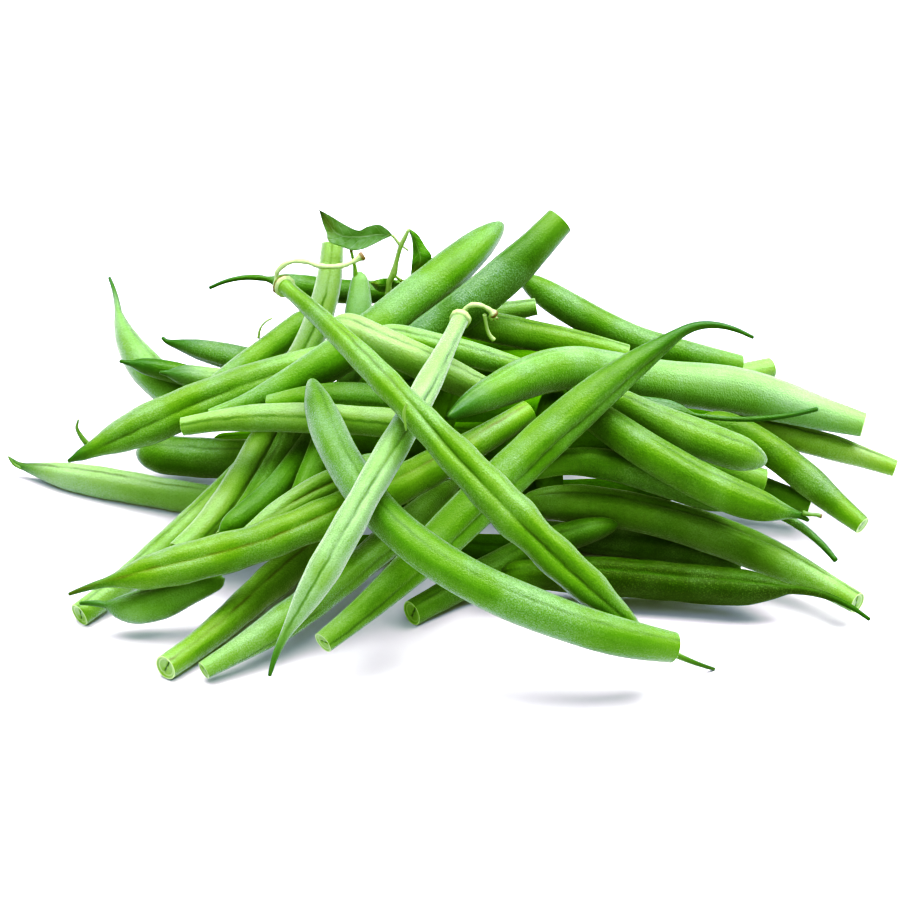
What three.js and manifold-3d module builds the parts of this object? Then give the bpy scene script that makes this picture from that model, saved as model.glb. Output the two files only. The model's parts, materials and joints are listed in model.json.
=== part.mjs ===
// Green bean bundle: a loose heap of fresh green beans with one leafy sprig at the back.
// Millimetres, +Z up, the low front of the heap faces -Y, origin under the middle of the heap.
// Each bean is one closed pod: a cut or capped stem end, a swelling body and, on most, a thin beak.
// The beans are listed from the bottom of the heap to the top and then eased apart, so that
// neighbours lean on one another with a hair's breadth between their skins.

import * as THREE from "three";
import Module from "manifold-3d";

// ---- driving dimensions ----
const GAP = 0.4; // left between two pods
const SIDES = 8; // flats round a pod
const RING_STEP = 7.5; // along the body of a pod
const PROBE_STEP = 3; // spacing of the round probes that feel for neighbours
const EASE_ROUNDS = 400;
const EASE_REACH = 22; // how far a push spreads along a pod
const BEAK_START = 0.3; // where the body runs into its beak, as a share of its girth
const BEAK_END = 0.45; // radius at the very point
const STALK_RADIUS = 0.75;
const STALK_STEP = 2.5;
const LEAF_THICK = 0.8;
const STEM_RADIUS = 0.85;
const SPRIG_DEPTH = 22.5;

const COLOURS = {
  pod: 0x6f9f3c,
  pod_pale: 0x97b964,
  pod_dark: 0x3f6b34,
  leaf: 0x4f8a3a,
};

// ---- one pod in words ----
// middle: where the pod's middle lies. heading and climb: degrees from +X and above level,
// looking from the stem end to the tip. bow and sag: how far both ends are carried to the left
// of, and above, the middle. curl: the same, but opposite at the two ends.
// beak: ahead, left and up from the end of the body. stalk: path from the stem end.
// girths: pairs of how far along the body and the share of its thickness there, for uneven pods.
function bean(name, middle, heading, climb, length, thick, extra = {}) {
  const rest = { bow: 0, sag: 0, curl: [0, 0], neck: 0.74, taper: 0.2, skin: "pod" };
  return { name, middle, heading, climb, length, thick, ...rest, ...extra };
}

const BEANS = [
  // on the surface and filling the heart of the heap
  bean("base_back_outer", [16, 47, 3], 0, 0, 116, 8.4, { bow: -2 }),
  bean("base_back_inner", [-10, 32, 3], 0, 0, 104, 8.2, { bow: -3 }),
  bean("base_middle", [4, 2, 3], 0, 0, 106, 8.2, { bow: 2 }),
  bean("base_front", [0, -23, 3], -3, 0, 50, 8),
  bean("base_cross_left", [-9, 11, 13], 92, 11, 44, 8, { bow: 2 }),
  bean("base_cross_middle", [25, 14, 13], 86, 0, 54, 8.4, { bow: -2 }),
  bean("core_arched", [8, 31, 24], 8, 0, 82, 8.4, { bow: -8 }),
  bean("core_back", [13, 29, 31], -2, 0, 56, 7.6, { bow: -4 }),
  bean("core_front", [8, -3, 21], -10, 8, 80, 8),
  bean("core_cross", [-1, 6, 31], 84, 6, 38, 8),
  bean("core_top", [6, 6, 39], 6, 0, 42, 7.6, { bow: -3 }),

  // the back, seen over the crest
  bean("back_far_left", [-76.5, 32, 23], 135, 17, 50, 9.2, {
    bow: -9,
    skin: "pod_pale",
    beak: [11, 1, 0],
    girths: [[0, 0.75], [0.3, 1], [0.53, 1], [0.65, 0.88], [0.75, 0.7], [0.85, 0.48], [0.94, 0.26], [1, 0.2]],
  }),
  bean("back_long_beak", [-28, 33, 45.9], 168, -2, 36, 6.4, {
    sag: 2, skin: "pod_dark", beak: [15, 2, -5.6],
  }),
  bean("back_right", [44.4, 23, 38.2], 171, 22, 60, 7.8, { bow: -7, taper: 0.24 }),
  bean("left_upper_dark", [-56, 31, 28], 151, -2, 38, 6.8, {
    skin: "pod_dark",
    beak: [2, 0, 1],
    girths: [[0, 0.8], [0.3, 1], [0.55, 1], [0.65, 0.92], [0.78, 0.75], [0.88, 0.52], [1, 0.24]],
  }),
  bean("left_upper_low", [-63, 24, 24.5], 170, 10, 38, 5.6, { skin: "pod_dark", beak: [3, 0, 0] }),
  bean("left_upper_pale", [-56, 18, 28], 177, 7, 31, 6, { skin: "pod_pale", beak: [2, 0, 0] }),
  bean("left_upper_thin", [-48, 17, 36], 31, 24, 37, 7),
  bean("back_stalked", [-23.5, 17, 43], -105, -60, 30, 7, {
    bow: -1,
    neck: 0.45,
    skin: "pod_pale",
    stalk: [[-1, 0, 2], [-1, 0, 5], [-2, 0, 8]],
  }),
  bean("back_upright", [-34.2, 16, 43], -140, -59, 44, 7.3, { bow: -6, neck: 0.8 }),

  // the left side
  bean("left_flat", [-74, 4, 3], 163, 0, 75, 8.4, {
    bow: -3,
    skin: "pod_pale",
    beak: [4.5, 0, 1.5],
    girths: [
      [0, 0.8], [0.25, 0.94], [0.45, 0.95], [0.6, 1],
      [0.75, 0.96], [0.85, 0.82], [0.94, 0.52], [1, 0.26],
    ],
  }),
  bean("left_under", [-52.6, 9.3, 9.5], 163, -3, 57, 10.4, { bow: 1, skin: "pod_dark" }),
  bean("left_long_tip", [-62, 2, 31], -168, -18, 66, 11, {
    bow: 1,
    sag: -1,
    beak: [3, 0, 0],
    girths: [
      [0, 0.74], [0.2, 0.95], [0.35, 1], [0.64, 1], [0.73, 0.96],
      [0.81, 0.82], [0.87, 0.64], [0.92, 0.46], [1, 0.26],
    ],
  }),
  bean("back_thick", [-18.8, 6.6, 48.6], 30, 21, 89, 10.2, {
    bow: 9,
    sag: -1,
    curl: [-2, -1],
    girths: [
      [0, 0.35], [0.12, 0.5], [0.25, 0.84], [0.38, 1], [0.76, 1],
      [0.84, 0.93], [0.91, 0.78], [0.96, 0.58], [1, 0.22],
    ],
  }),

  // the crest, right of the middle
  bean("crest_thin", [4, 22, 43], -166, -10, 36, 6, { bow: 2, skin: "pod_pale" }),
  bean("crest_level", [22, 12, 44], 177, 12, 46, 7.6, { bow: 1 }),
  bean("crest_raised", [8, 8, 58], -156, -33, 53, 9.8, { bow: -3, neck: 0.76 }),
  bean("crest_slim", [1, -4, 49], -176, 18, 40, 6.5, { bow: -1, sag: -1 }),
  bean("crest_front", [-8, -13, 51], 179, 27, 46, 8.6, { bow: -2, sag: -1 }),

  // the right side
  bean("right_low_dark", [69, -4, 13], 171, 14, 44, 6.8, { bow: 1, skin: "pod_dark" }),
  bean("right_low_pale", [61, -9, 20], 176, 18, 35, 7, { bow: -1, skin: "pod_pale", neck: 0.9 }),
  bean("right_behind", [65, 22, 27], -148, 8, 42, 6.5, { skin: "pod_pale", neck: 0.85 }),
  bean("right_far_end", [90, 6, 18], 170, 14, 46, 6.6, { bow: 1, neck: 0.66 }),
  bean("right_stem_end", [84, -6, 18], 155, 24, 48, 7.8, { bow: 5, curl: [1, -2], neck: 0.6 }),
  bean("right_thick", [45, 3, 37.6], -160, 12, 113, 11.8, {
    bow: 20,
    sag: -2,
    curl: [-1, -4],
    girths: [
      [0, 0.53], [0.04, 0.6], [0.11, 0.8], [0.2, 0.98], [0.32, 1], [0.42, 0.94],
      [0.5, 0.9], [0.7, 0.9], [0.8, 0.84], [0.88, 0.68], [0.94, 0.48], [1, 0.14],
    ],
  }),
  bean("right_beaked_dark", [44, -6.5, 36], -6, -10, 31, 4.8, { skin: "pod_dark", beak: [30, 1, 8] }),
  bean("right_rounded", [55, -16, 33.5], -8, -22, 48, 9.6, {
    bow: 3,
    girths: [[0, 0.6], [0.3, 0.8], [0.55, 1], [0.78, 1], [0.88, 0.86], [0.95, 0.6], [1, 0.2]],
  }),
  bean("right_on_surface", [44, -20, 3], -15, -4, 58, 7.4, { bow: -3, curl: [-1, -1], skin: "pod_dark" }),
  bean("right_long", [61, -28, 12], 160, 7, 86, 9.6, { bow: 11, curl: [1, -1], neck: 0.56 }),
  bean("right_hooked", [46, -25, 26.5], -3, -9, 53, 7.8, {
    bow: -5,
    sag: -1,
    curl: [2, 3],
    skin: "pod_dark",
    beak: [24, -7, -7],
  }),
  bean("right_upper", [54, -32, 32], -24, -18, 60, 9.2, {
    bow: 6,
    curl: [1, 1],
    beak: [4, 0, -1],
    girths: [
      [0, 0.74], [0.25, 0.96], [0.45, 1], [0.7, 1],
      [0.82, 0.92], [0.9, 0.72], [0.96, 0.45], [1, 0.26],
    ],
  }),

  // the front edge, on the surface
  bean("front_short", [14, -36, 8], 24, 12, 56, 7.6, {
    bow: -5,
    sag: 1,
    curl: [-1, -1],
    neck: 0.85,
    taper: 0.3,
  }),
  bean("front_right", [46.5, -44.2, 8], -5, 0, 69, 9.6, {
    bow: -3, sag: 1, curl: [1, 1], beak: [20, -5, -5],
  }),
  bean("front_left_end", [-62.6, -23.4, 12], 51, 15, 80, 7, { bow: 2.5, neck: 0.85 }),
  bean("front_inner_a", [-52, -18, 19], 59, 20, 48, 7.6, { bow: 3, curl: [-1, 0] }),
  bean("front_inner_b", [-44, -20, 22], 63, 22, 41, 7.2, { bow: 2, skin: "pod_dark" }),
  bean("front_inner_c", [-40, -25, 25], -123, -14, 45, 6.8, { bow: -4, curl: [-1, 0], skin: "pod_dark" }),
  bean("front_inner_d", [-32, -24, 30], 68, 25, 40, 6.8, { bow: 1, sag: -2, curl: [-1, 0] }),
  bean("front_inner_e", [-32, -38, 29], 21, 21, 38, 7, { bow: -2, sag: -1, skin: "pod_pale" }),
  bean("front_cut", [-48, -51, 6], 53, 5, 62, 8.8, {
    curl: [-1, -1],
    girths: [
      [0, 0.72], [0.15, 0.76], [0.32, 0.83], [0.46, 0.92],
      [0.6, 1], [0.85, 0.96], [0.94, 0.7], [1, 0.2],
    ],
  }),
  bean("front_middle", [-25, -50, 12.5], 45, 11, 86, 8.2, {
    bow: 4,
    sag: -1,
    curl: [-1, 0],
    girths: [[0, 0.54], [0.05, 0.6], [0.12, 0.74], [0.2, 0.9], [0.3, 1], [0.85, 0.96], [0.94, 0.7], [1, 0.2]],
  }),
  bean("front_left_beak", [-67.2, -55.4, 9.7], -170, -9, 28.5, 8.4, {
    bow: -3,
    curl: [-1, 2],
    beak: [7, 0, -1],
    girths: [
      [0, 0.4], [0.2, 0.7], [0.4, 0.94], [0.55, 1],
      [0.74, 0.98], [0.86, 0.84], [0.93, 0.58], [1, 0.26],
    ],
  }),

  // the long ones lying across the top
  bean("top_level_thin", [-25, -15, 42], -21, 11, 40, 7, { bow: -3, sag: -1 }),
  bean("top_level", [-35, -20, 39], -17, 10, 62, 7.6, { bow: -4, curl: [1, 1], neck: 0.6 }),
  bean("top_left_long", [-28, -47, 27.8], -160, -14, 109, 10.2, {
    bow: -8,
    sag: 1,
    beak: [10, 0, -1],
    girths: [
      [0, 0.6], [0.15, 0.74], [0.3, 0.9], [0.45, 0.98], [0.55, 0.93], [0.66, 0.97], [0.76, 1],
      [0.86, 0.97], [0.92, 0.82], [0.96, 0.55], [1, 0.28],
    ],
  }),
  bean("top_right_long", [10.8, -39.9, 31.3], 36, 25, 115, 10.8, {
    bow: -5,
    sag: 3.4,
    curl: [-2, -2],
    beak: [15, -6, -9],
    girths: [
      [0, 0.5], [0.1, 0.6], [0.2, 0.76], [0.3, 0.9], [0.4, 1], [0.66, 1],
      [0.75, 0.94], [0.83, 0.8], [0.9, 0.62], [0.96, 0.42], [1, 0.28],
    ],
  }),
  bean("top_curved", [-6, -72, 33.2], 144, 19, 111, 10, {
    bow: -27,
    sag: -3,
    curl: [3, 3],
    girths: [
      [0, 0.76], [0.04, 0.86], [0.12, 0.94], [0.25, 1], [0.35, 1], [0.5, 0.94],
      [0.8, 0.92], [0.9, 0.84], [0.96, 0.64], [1, 0.2],
    ],
  }),
  bean("top_pale", [-13.7, -54.1, 49], -118, -26, 95, 8.3, {
    bow: -6,
    sag: -9,
    curl: [-1, -2],
    skin: "pod_pale",
    beak: [11, 2.4, 0],
    girths: [
      [0, 0.5], [0.12, 0.54], [0.22, 0.74], [0.31, 0.84], [0.41, 0.87], [0.5, 0.92], [0.62, 0.88],
      [0.72, 0.94], [0.82, 1], [0.89, 0.9], [0.95, 0.6], [1, 0.34],
    ],
    stalk: [[1, 0, 2], [3, 0, 3], [6, 0, 2], [8, 0, 0]],
  }),
  bean("top_diagonal", [-2, -59, 55], -38, -28, 121, 10.4, {
    bow: 14,
    sag: -14,
    curl: [4, -1],
    beak: [26, 4, 1],
    girths: [
      [0, 0.42], [0.03, 0.37], [0.1, 0.44], [0.22, 0.58],
      [0.32, 0.66], [0.42, 0.68], [0.5, 0.84], [0.6, 0.97],
      [0.7, 1], [0.77, 0.9], [0.83, 0.94], [0.9, 0.8], [0.96, 0.5], [1, 0.28],
    ],
    stalk: [[-1, 0, 2], [1, 0, 5], [5, 0, 6], [10, -1, 5], [16, 0, 5], [20, 1, 7]],
  }),
];

// ---- the line and the girth of a pod ----
const degrees = Math.PI / 180;

function axes(heading, climb) {
  const h = heading * degrees;
  const c = climb * degrees;
  const ahead = new THREE.Vector3(Math.cos(h) * Math.cos(c), Math.sin(h) * Math.cos(c), Math.sin(c));
  const left = new THREE.Vector3(-Math.sin(h), Math.cos(h), 0);
  const up = new THREE.Vector3().crossVectors(ahead, left);
  return { ahead, left, up };
}

function bodyPoint(pod, t) {
  const { ahead, left, up } = axes(pod.heading, pod.climb);
  const q = 2 * t - 1;
  const twist = q ** 3 - q;
  return new THREE.Vector3(...pod.middle)
    .addScaledVector(ahead, (q * pod.length) / 2)
    .addScaledVector(left, q * q * pod.bow + twist * pod.curl[0])
    .addScaledVector(up, q * q * pod.sag + twist * pod.curl[1]);
}

// The share of the full thickness at t, in straight lines between the given girths.
function unevenGirth(girths, t) {
  const next = Math.max(1, girths.findIndex(([place]) => place >= t));
  const [from, start] = girths[next - 1];
  const [to, end] = girths[next];
  return THREE.MathUtils.lerp(start, end, (t - from) / (to - from));
}

function bodyRadius(pod, t) {
  if (pod.girths) return (pod.thick / 2) * unevenGirth(pod.girths, t);
  const swell = pod.neck + (1 - pod.neck) * THREE.MathUtils.smoothstep(t, 0, 0.38);
  const into = Math.max(0, (t - (1 - pod.taper)) / pod.taper);
  const pointed = 1 - (1 - BEAK_START) * into ** 1.7;
  const rounded = 0.12 + 0.88 * Math.sqrt(Math.max(0, 1 - into ** 2.2));
  return (pod.thick / 2) * swell * (pod.beak ? pointed : rounded);
}

// The stalk, body and beak as one row of round probes, from the stem side to the tip.
function probesOf(pod) {
  const steps = Math.ceil(pod.length / PROBE_STEP);
  const row = [];
  for (let i = 0; i <= steps; i += 1) {
    const t = i / steps;
    row.push({ at: bodyPoint(pod, t), radius: bodyRadius(pod, t), part: "body", t });
  }
  if (pod.stalk) {
    const start = row[0].at;
    const knots = pod.stalk.map((p) => start.clone().add(new THREE.Vector3(...p)));
    const curve = new THREE.CatmullRomCurve3([start, ...knots]);
    const count = Math.ceil(curve.getLength() / STALK_STEP);
    for (let i = 1; i <= count; i += 1) {
      const knob = i === count ? 0.5 : 0;
      const at = curve.getPoint(i / count);
      row.unshift({ at, radius: STALK_RADIUS + knob, part: "stalk", t: -i / count });
    }
  }
  if (pod.beak) {
    const end = row[row.length - 1];
    const ahead = end.at.clone().sub(row[row.length - 2].at).normalize();
    const left = new THREE.Vector3(-ahead.y, ahead.x, 0).normalize();
    const up = new THREE.Vector3().crossVectors(ahead, left);
    const [f, s, u] = pod.beak;
    const reach = end.at.clone().addScaledVector(ahead, f).addScaledVector(left, s).addScaledVector(up, u);
    const bend = end.at.clone().addScaledVector(ahead, Math.hypot(f, s, u) / 2);
    const curve = new THREE.QuadraticBezierCurve3(end.at, bend, reach);
    const count = Math.max(3, Math.ceil(curve.getLength() / 4));
    for (let i = 1; i <= count; i += 1) {
      const k = i / count;
      const radius = THREE.MathUtils.lerp(end.radius, BEAK_END, k ** 0.8);
      row.push({ at: curve.getPoint(k), radius, part: "beak", t: 1 + k });
    }
  }
  return row;
}

// ---- easing the pods apart ----
// A pod's flats stand a little inside its round girth, so its lowest flat meets the surface at this height.
const FLAT = Math.cos(Math.PI / SIDES);
const SUNK = 0.1;

function spreadPush(row, index, push) {
  row.forEach((probe, i) => {
    const share = 1 - probe.at.distanceTo(row[index].at) / EASE_REACH;
    if (share > 0) row[i].nudge.addScaledVector(push, share);
  });
}

// Lifts a pod where it has sunk through the surface, and its neighbouring lengths with it.
function liftOffSurface(row) {
  const sunk = row.map((probe) => Math.max(0, probe.radius * FLAT - SUNK - probe.at.z));
  const lifts = row.map((probe) => {
    const near = row.map((other) => Math.max(0, 1 - probe.at.distanceTo(other.at) / EASE_REACH));
    return Math.max(...near.map((share, i) => share * sunk[i]));
  });
  lifts.forEach((lift, i) => {
    row[i].at.z += lift;
  });
}

function ease(rows) {
  const between = new THREE.Vector3();
  for (let round = 0; round < EASE_ROUNDS; round += 1) {
    for (const row of rows) for (const probe of row) probe.nudge = new THREE.Vector3();
    let tight = 0;
    for (let a = 1; a < rows.length; a += 1) {
      for (let b = 0; b < a; b += 1) {
        let worst = 0;
        let pair = null;
        rows[a].forEach((p, i) => {
          rows[b].forEach((q, j) => {
            const reach = p.radius + q.radius + GAP;
            const gap = p.at.distanceTo(q.at);
            if (reach - gap > worst) {
              worst = reach - gap;
              pair = [i, j];
            }
          });
        });
        if (pair) {
          tight = Math.max(tight, worst);
          between.subVectors(rows[a][pair[0]].at, rows[b][pair[1]].at).normalize();
          spreadPush(rows[a], pair[0], between.clone().multiplyScalar(worst * 0.3));
          spreadPush(rows[b], pair[1], between.clone().multiplyScalar(-worst * 0.3));
        }
      }
    }
    for (const row of rows) for (const probe of row) probe.at.add(probe.nudge);
    for (const row of rows) liftOffSurface(row);
    if (tight < 0.02) break;
  }
}

// ---- skin of a pod ----
function thinOut(row) {
  const kept = [row[0]];
  let travelled = 0;
  for (let i = 1; i < row.length; i += 1) {
    travelled += row[i].at.distanceTo(row[i - 1].at);
    const shrinking = row[i].radius < 0.93 * row[i - 1].radius;
    const edge = row[i].part !== "body" || row[i].t === 0 || row[i].t > 0.95;
    if (edge || shrinking || travelled > RING_STEP) {
      kept.push(row[i]);
      travelled = 0;
    }
  }
  return kept;
}

// A closed skin round a row of circles, with one point in the middle of each end.
function skinAround(row, sides, floor) {
  const points = [];
  const faces = [];
  const mid = Math.floor(row.length / 2);
  const along = row.map((_, i) => {
    const from = row[Math.max(0, i - 1)].at;
    const to = row[Math.min(row.length - 1, i + 1)].at;
    return to.clone().sub(from).normalize();
  });
  const ups = new Array(row.length);
  ups[mid] = new THREE.Vector3(0, 0, 1).projectOnPlane(along[mid]).normalize();
  for (let i = mid + 1; i < row.length; i += 1) {
    ups[i] = ups[i - 1].clone().projectOnPlane(along[i]).normalize();
  }
  for (let i = mid - 1; i >= 0; i -= 1) {
    ups[i] = ups[i + 1].clone().projectOnPlane(along[i]).normalize();
  }
  row.forEach((ring, i) => {
    const left = new THREE.Vector3().crossVectors(ups[i], along[i]);
    for (let k = 0; k < sides; k += 1) {
      const angle = ((k + 0.5) / sides) * 2 * Math.PI;
      const p = ring.at.clone();
      p.addScaledVector(left, Math.cos(angle) * ring.radius);
      p.addScaledVector(ups[i], Math.sin(angle) * ring.radius);
      p.z = Math.max(p.z, floor);
      points.push(p);
    }
  });
  const first = points.length;
  points.push(row[0].at.clone());
  const last = points.length;
  points.push(row[row.length - 1].at.clone().addScaledVector(along[row.length - 1], 0.3));
  for (let k = 0; k < sides; k += 1) {
    const n = (k + 1) % sides;
    faces.push(first, n, k);
    for (let i = 0; i + 1 < row.length; i += 1) {
      const a = i * sides;
      const b = a + sides;
      faces.push(a + k, a + n, b + n, a + k, b + n, b + k);
    }
    const end = (row.length - 1) * sides;
    faces.push(last, end + k, end + n);
  }
  return { points, faces };
}

function geometryOf({ points, faces }) {
  const geometry = new THREE.BufferGeometry().setFromPoints(points);
  geometry.setIndex(faces);
  return geometry;
}

// ---- the leafy sprig ----
// A leaf is a thin folded blade. Each station is a point [x, z] of its midrib and how far the blade
// reaches to either side of it, along the given direction.
function leafBlade(depth, side, stations, fold) {
  const points = [];
  const faces = [];
  stations.forEach(([x, z, plus, minus], i) => {
    const wave = 0.4 * Math.sin(i * 1.7);
    for (const face of [1, -1]) {
      for (const out of [-minus, 0, plus]) {
        const away = out ? (fold * Math.abs(out)) / 6 + wave : 0;
        const y = depth - (face * LEAF_THICK) / 2 - away;
        points.push(new THREE.Vector3(x + side.x * out, y, z + side.z * out));
      }
    }
  });
  const ring = [0, 1, 2, 5, 4, 3];
  const turn = (stations[1][0] - stations[0][0]) * side.z - (stations[1][1] - stations[0][1]) * side.x > 0;
  const add = (a, b, c) => faces.push(...(turn ? [a, b, c] : [a, c, b]));
  for (let i = 0; i + 1 < stations.length; i += 1) {
    ring.forEach((p, k) => {
      const n = ring[(k + 1) % ring.length];
      const a = i * 6;
      const b = a + 6;
      add(a + p, b + p, b + n);
      add(a + p, b + n, a + n);
    });
  }
  const end = (stations.length - 1) * 6;
  for (const s of [0, 1]) {
    add(s, s + 1, s + 4);
    add(s, s + 4, s + 3);
    add(end + s, end + s + 4, end + s + 1);
    add(end + s, end + s + 3, end + s + 4);
  }
  return { points, faces };
}

function tube(path, radii, sides = 6) {
  const curve = new THREE.CatmullRomCurve3(path.map((p) => new THREE.Vector3(...p)));
  const count = Math.ceil(curve.getLength() / 3);
  const row = [];
  for (let i = 0; i <= count; i += 1) {
    const k = i / count;
    row.push({ at: curve.getPoint(k), radius: THREE.MathUtils.lerp(radii[0], radii[1], k) });
  }
  return solid(skinAround(row, sides, -Infinity));
}

const wasm = await Module();
wasm.setup();

function solid({ points, faces }) {
  const mesh = new wasm.Mesh({
    numProp: 3,
    vertProperties: new Float32Array(points.flatMap((p) => [p.x, p.y, p.z])),
    triVerts: new Uint32Array(faces),
  });
  return new wasm.Manifold(mesh);
}

function sprigGeometry() {
  const upright = { x: 0, z: 1 };
  const level = { x: 1, z: 0 };
  const upperLeaf = leafBlade(
    SPRIG_DEPTH,
    upright,
    [
      [-14, 68.3, 0.7, 0.7],
      [-16, 68.5, 1.9, 1.2],
      [-18, 68.8, 3, 2.7],
      [-21, 69.1, 2.1, 4.3],
      [-24, 69.3, 0.9, 4.8],
      [-26, 69.7, 1.4, 4.5],
      [-29, 70.4, 2.5, 4.2],
      [-30.5, 71.3, 2.8, 4],
      [-31.5, 73, 1.8, 2.2],
      [-32.5, 74.7, 1, 1],
      [-33, 76, 0.3, 0.3],
    ],
    1,
  );
  const lowerLeaf = leafBlade(
    SPRIG_DEPTH,
    level,
    [
      [-10.2, 71, 0.5, 0.5],
      [-9, 68, 1.2, 0.7],
      [-8.2, 65, 2.3, 1.1],
      [-7.7, 63, 3.1, 1.6],
      [-8.5, 60.5, 1.5, 1],
      [-9.5, 58.3, 0.6, 0.5],
      [-9.8, 57, 0.3, 0.3],
    ],
    -1,
  );
  const footLeaf = leafBlade(
    SPRIG_DEPTH,
    upright,
    [
      [-14, 57, 0.7, 0.7],
      [-15.5, 57, 1.7, 1.3],
      [-17, 57.2, 1.7, 1.5],
      [-18.4, 57.6, 1, 1],
      [-19.4, 58, 0.3, 0.3],
    ],
    1,
  );
  const inPlane = (path) => path.map(([x, z]) => [x, SPRIG_DEPTH, z]);
  const pieces = [
    tube(inPlane([[-14.5, 48], [-15, 54], [-14, 60], [-12, 67], [-10, 72]]), [STEM_RADIUS, 0.6]),
    tube(inPlane([[-12, 67], [-13, 68], [-16, 68.6]]), [0.6, 0.5]),
    tube(inPlane([[-14.6, 57], [-13, 56], [-11.5, 55]]), [0.5, 0.4]),
    solid(upperLeaf),
    solid(lowerLeaf),
    solid(footLeaf),
  ];
  const joined = wasm.Manifold.union(pieces);
  const out = joined.getMesh();
  const geometry = new THREE.BufferGeometry();
  const xyz = new Float32Array(out.numVert * 3);
  for (let i = 0; i < out.numVert; i += 1) {
    for (let k = 0; k < 3; k += 1) xyz[i * 3 + k] = out.vertProperties[i * out.numProp + k];
  }
  geometry.setAttribute("position", new THREE.BufferAttribute(xyz, 3));
  geometry.setIndex(Array.from(out.triVerts));
  return geometry;
}

// ---- the whole bundle ----
const material = (colour, roughness) =>
  new THREE.MeshStandardMaterial({ color: colour, roughness, metalness: 0 });

function buildBundle() {
  const group = new THREE.Group();
  group.name = "green_bean_bundle";
  const rows = BEANS.map(probesOf);
  ease(rows);
  BEANS.forEach((pod, i) => {
    const geometry = geometryOf(skinAround(thinOut(rows[i]), SIDES, 0));
    const mesh = new THREE.Mesh(geometry, material(COLOURS[pod.skin], 0.5));
    mesh.name = `bean_${pod.name}`;
    group.add(mesh);
  });
  const sprig = new THREE.Mesh(sprigGeometry(), material(COLOURS.leaf, 0.6));
  sprig.name = "leafy_sprig";
  group.add(sprig);

  // Carry everything so that the origin is under the middle, on the surface.
  const box = new THREE.Box3().setFromObject(group);
  const middle = box.getCenter(new THREE.Vector3());
  for (const mesh of group.children) mesh.geometry.translate(-middle.x, -middle.y, -box.min.z);
  for (const mesh of group.children) mesh.geometry.computeVertexNormals();
  return group;
}

export default buildBundle();
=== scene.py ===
# %% [markdown]
# # A heap of fresh green beans
# The plain solids of the heap are already packed: 59 eight-sided pods and one leafy sprig. They fix
# where every bean lies, so nothing is moved here. This lesson dresses each solid as a fresh bean,
# with its seams, its swelling seeds, a cut or rounded stem end and a thin beak.
#
# One bean could be sculpted by hand and bent into 59 copies, but then all of them would look alike.
# Instead a few functions build every pod from the girths of its own solid and a short list of
# traits, so that many different pods take hardly more work than one.

# %% Load the frame
import json
import math
import random

import bmesh
import bpy
import numpy as np
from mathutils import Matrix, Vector


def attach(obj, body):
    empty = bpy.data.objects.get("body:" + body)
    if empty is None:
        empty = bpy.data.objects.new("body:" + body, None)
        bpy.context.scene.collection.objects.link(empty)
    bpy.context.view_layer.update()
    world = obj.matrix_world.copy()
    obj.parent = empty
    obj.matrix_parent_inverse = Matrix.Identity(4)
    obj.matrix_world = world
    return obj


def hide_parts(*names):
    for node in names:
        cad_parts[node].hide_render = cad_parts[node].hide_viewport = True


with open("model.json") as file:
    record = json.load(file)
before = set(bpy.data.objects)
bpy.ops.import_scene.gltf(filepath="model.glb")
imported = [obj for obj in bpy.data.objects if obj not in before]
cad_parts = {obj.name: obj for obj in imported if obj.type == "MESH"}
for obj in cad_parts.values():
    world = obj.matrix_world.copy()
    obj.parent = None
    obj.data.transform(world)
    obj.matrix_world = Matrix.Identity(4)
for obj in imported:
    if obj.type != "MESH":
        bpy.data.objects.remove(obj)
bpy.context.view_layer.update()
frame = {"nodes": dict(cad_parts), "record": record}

MM = 0.001
print("nodes in the frame:", len(frame["nodes"]))

# %% [markdown]
# ## The camera
# The heap is seen from the front and a little above, through a long lens, so that near and far
# beans keep nearly the same scale. A short lens would swell what is near. The camera is turned by
# aiming it at a point low in the middle of the heap, which is easier to adjust than three angles.

# %% Camera
AIM = Vector((0.4, 13.26, 18.4)) * MM
CAMERA_DISTANCE = 900 * MM
CAMERA_HEIGHT_ANGLE = math.radians(30)
LENS, SENSOR_WIDTH = 144, 36

camera_data = bpy.data.cameras.new("camera")
camera_data.lens = LENS
camera_data.sensor_width = SENSOR_WIDTH
camera = bpy.data.objects.new("camera", camera_data)
bpy.context.scene.collection.objects.link(camera)
toward_viewer = Vector((0, -math.cos(CAMERA_HEIGHT_ANGLE), math.sin(CAMERA_HEIGHT_ANGLE)))
camera.location = AIM + toward_viewer * CAMERA_DISTANCE
camera.rotation_euler = (-toward_viewer).to_track_quat("-Z", "Y").to_euler()
bpy.context.scene.camera = camera
print("camera stands at", [round(c, 3) for c in camera.location])

# %% [markdown]
# ## Light
# Fresh produce is lit brightly and softly. Two wide lamps above the heap, one to each side, draw
# pale edges along the tops of the pods, a weak wide one in front opens the shade, and a slightly
# blue surround cools the shadows. One small lamp would be simpler, but its hard shadows would cut
# the thin pods to pieces.

# %% Light
LIT_POINT = (0, 0, 0.02)
KEY_SIZE, FILL_SIZE = 0.7, 1.1
SURROUND_COLOUR = (0.91, 0.96, 1.0, 1)
SURROUND_STRENGTH = 0.43


def soft_light(name, place, size, watts, colour):
    """A square soft lamp at place, turned to the heap; all in metres."""
    data = bpy.data.lights.new(name, "AREA")
    data.size = size
    data.energy = watts
    data.color = colour
    light = bpy.data.objects.new(name, data)
    light.location = place
    light.rotation_euler = (Vector(LIT_POINT) - Vector(place)).to_track_quat("-Z", "Y").to_euler()
    bpy.context.scene.collection.objects.link(light)


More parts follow.
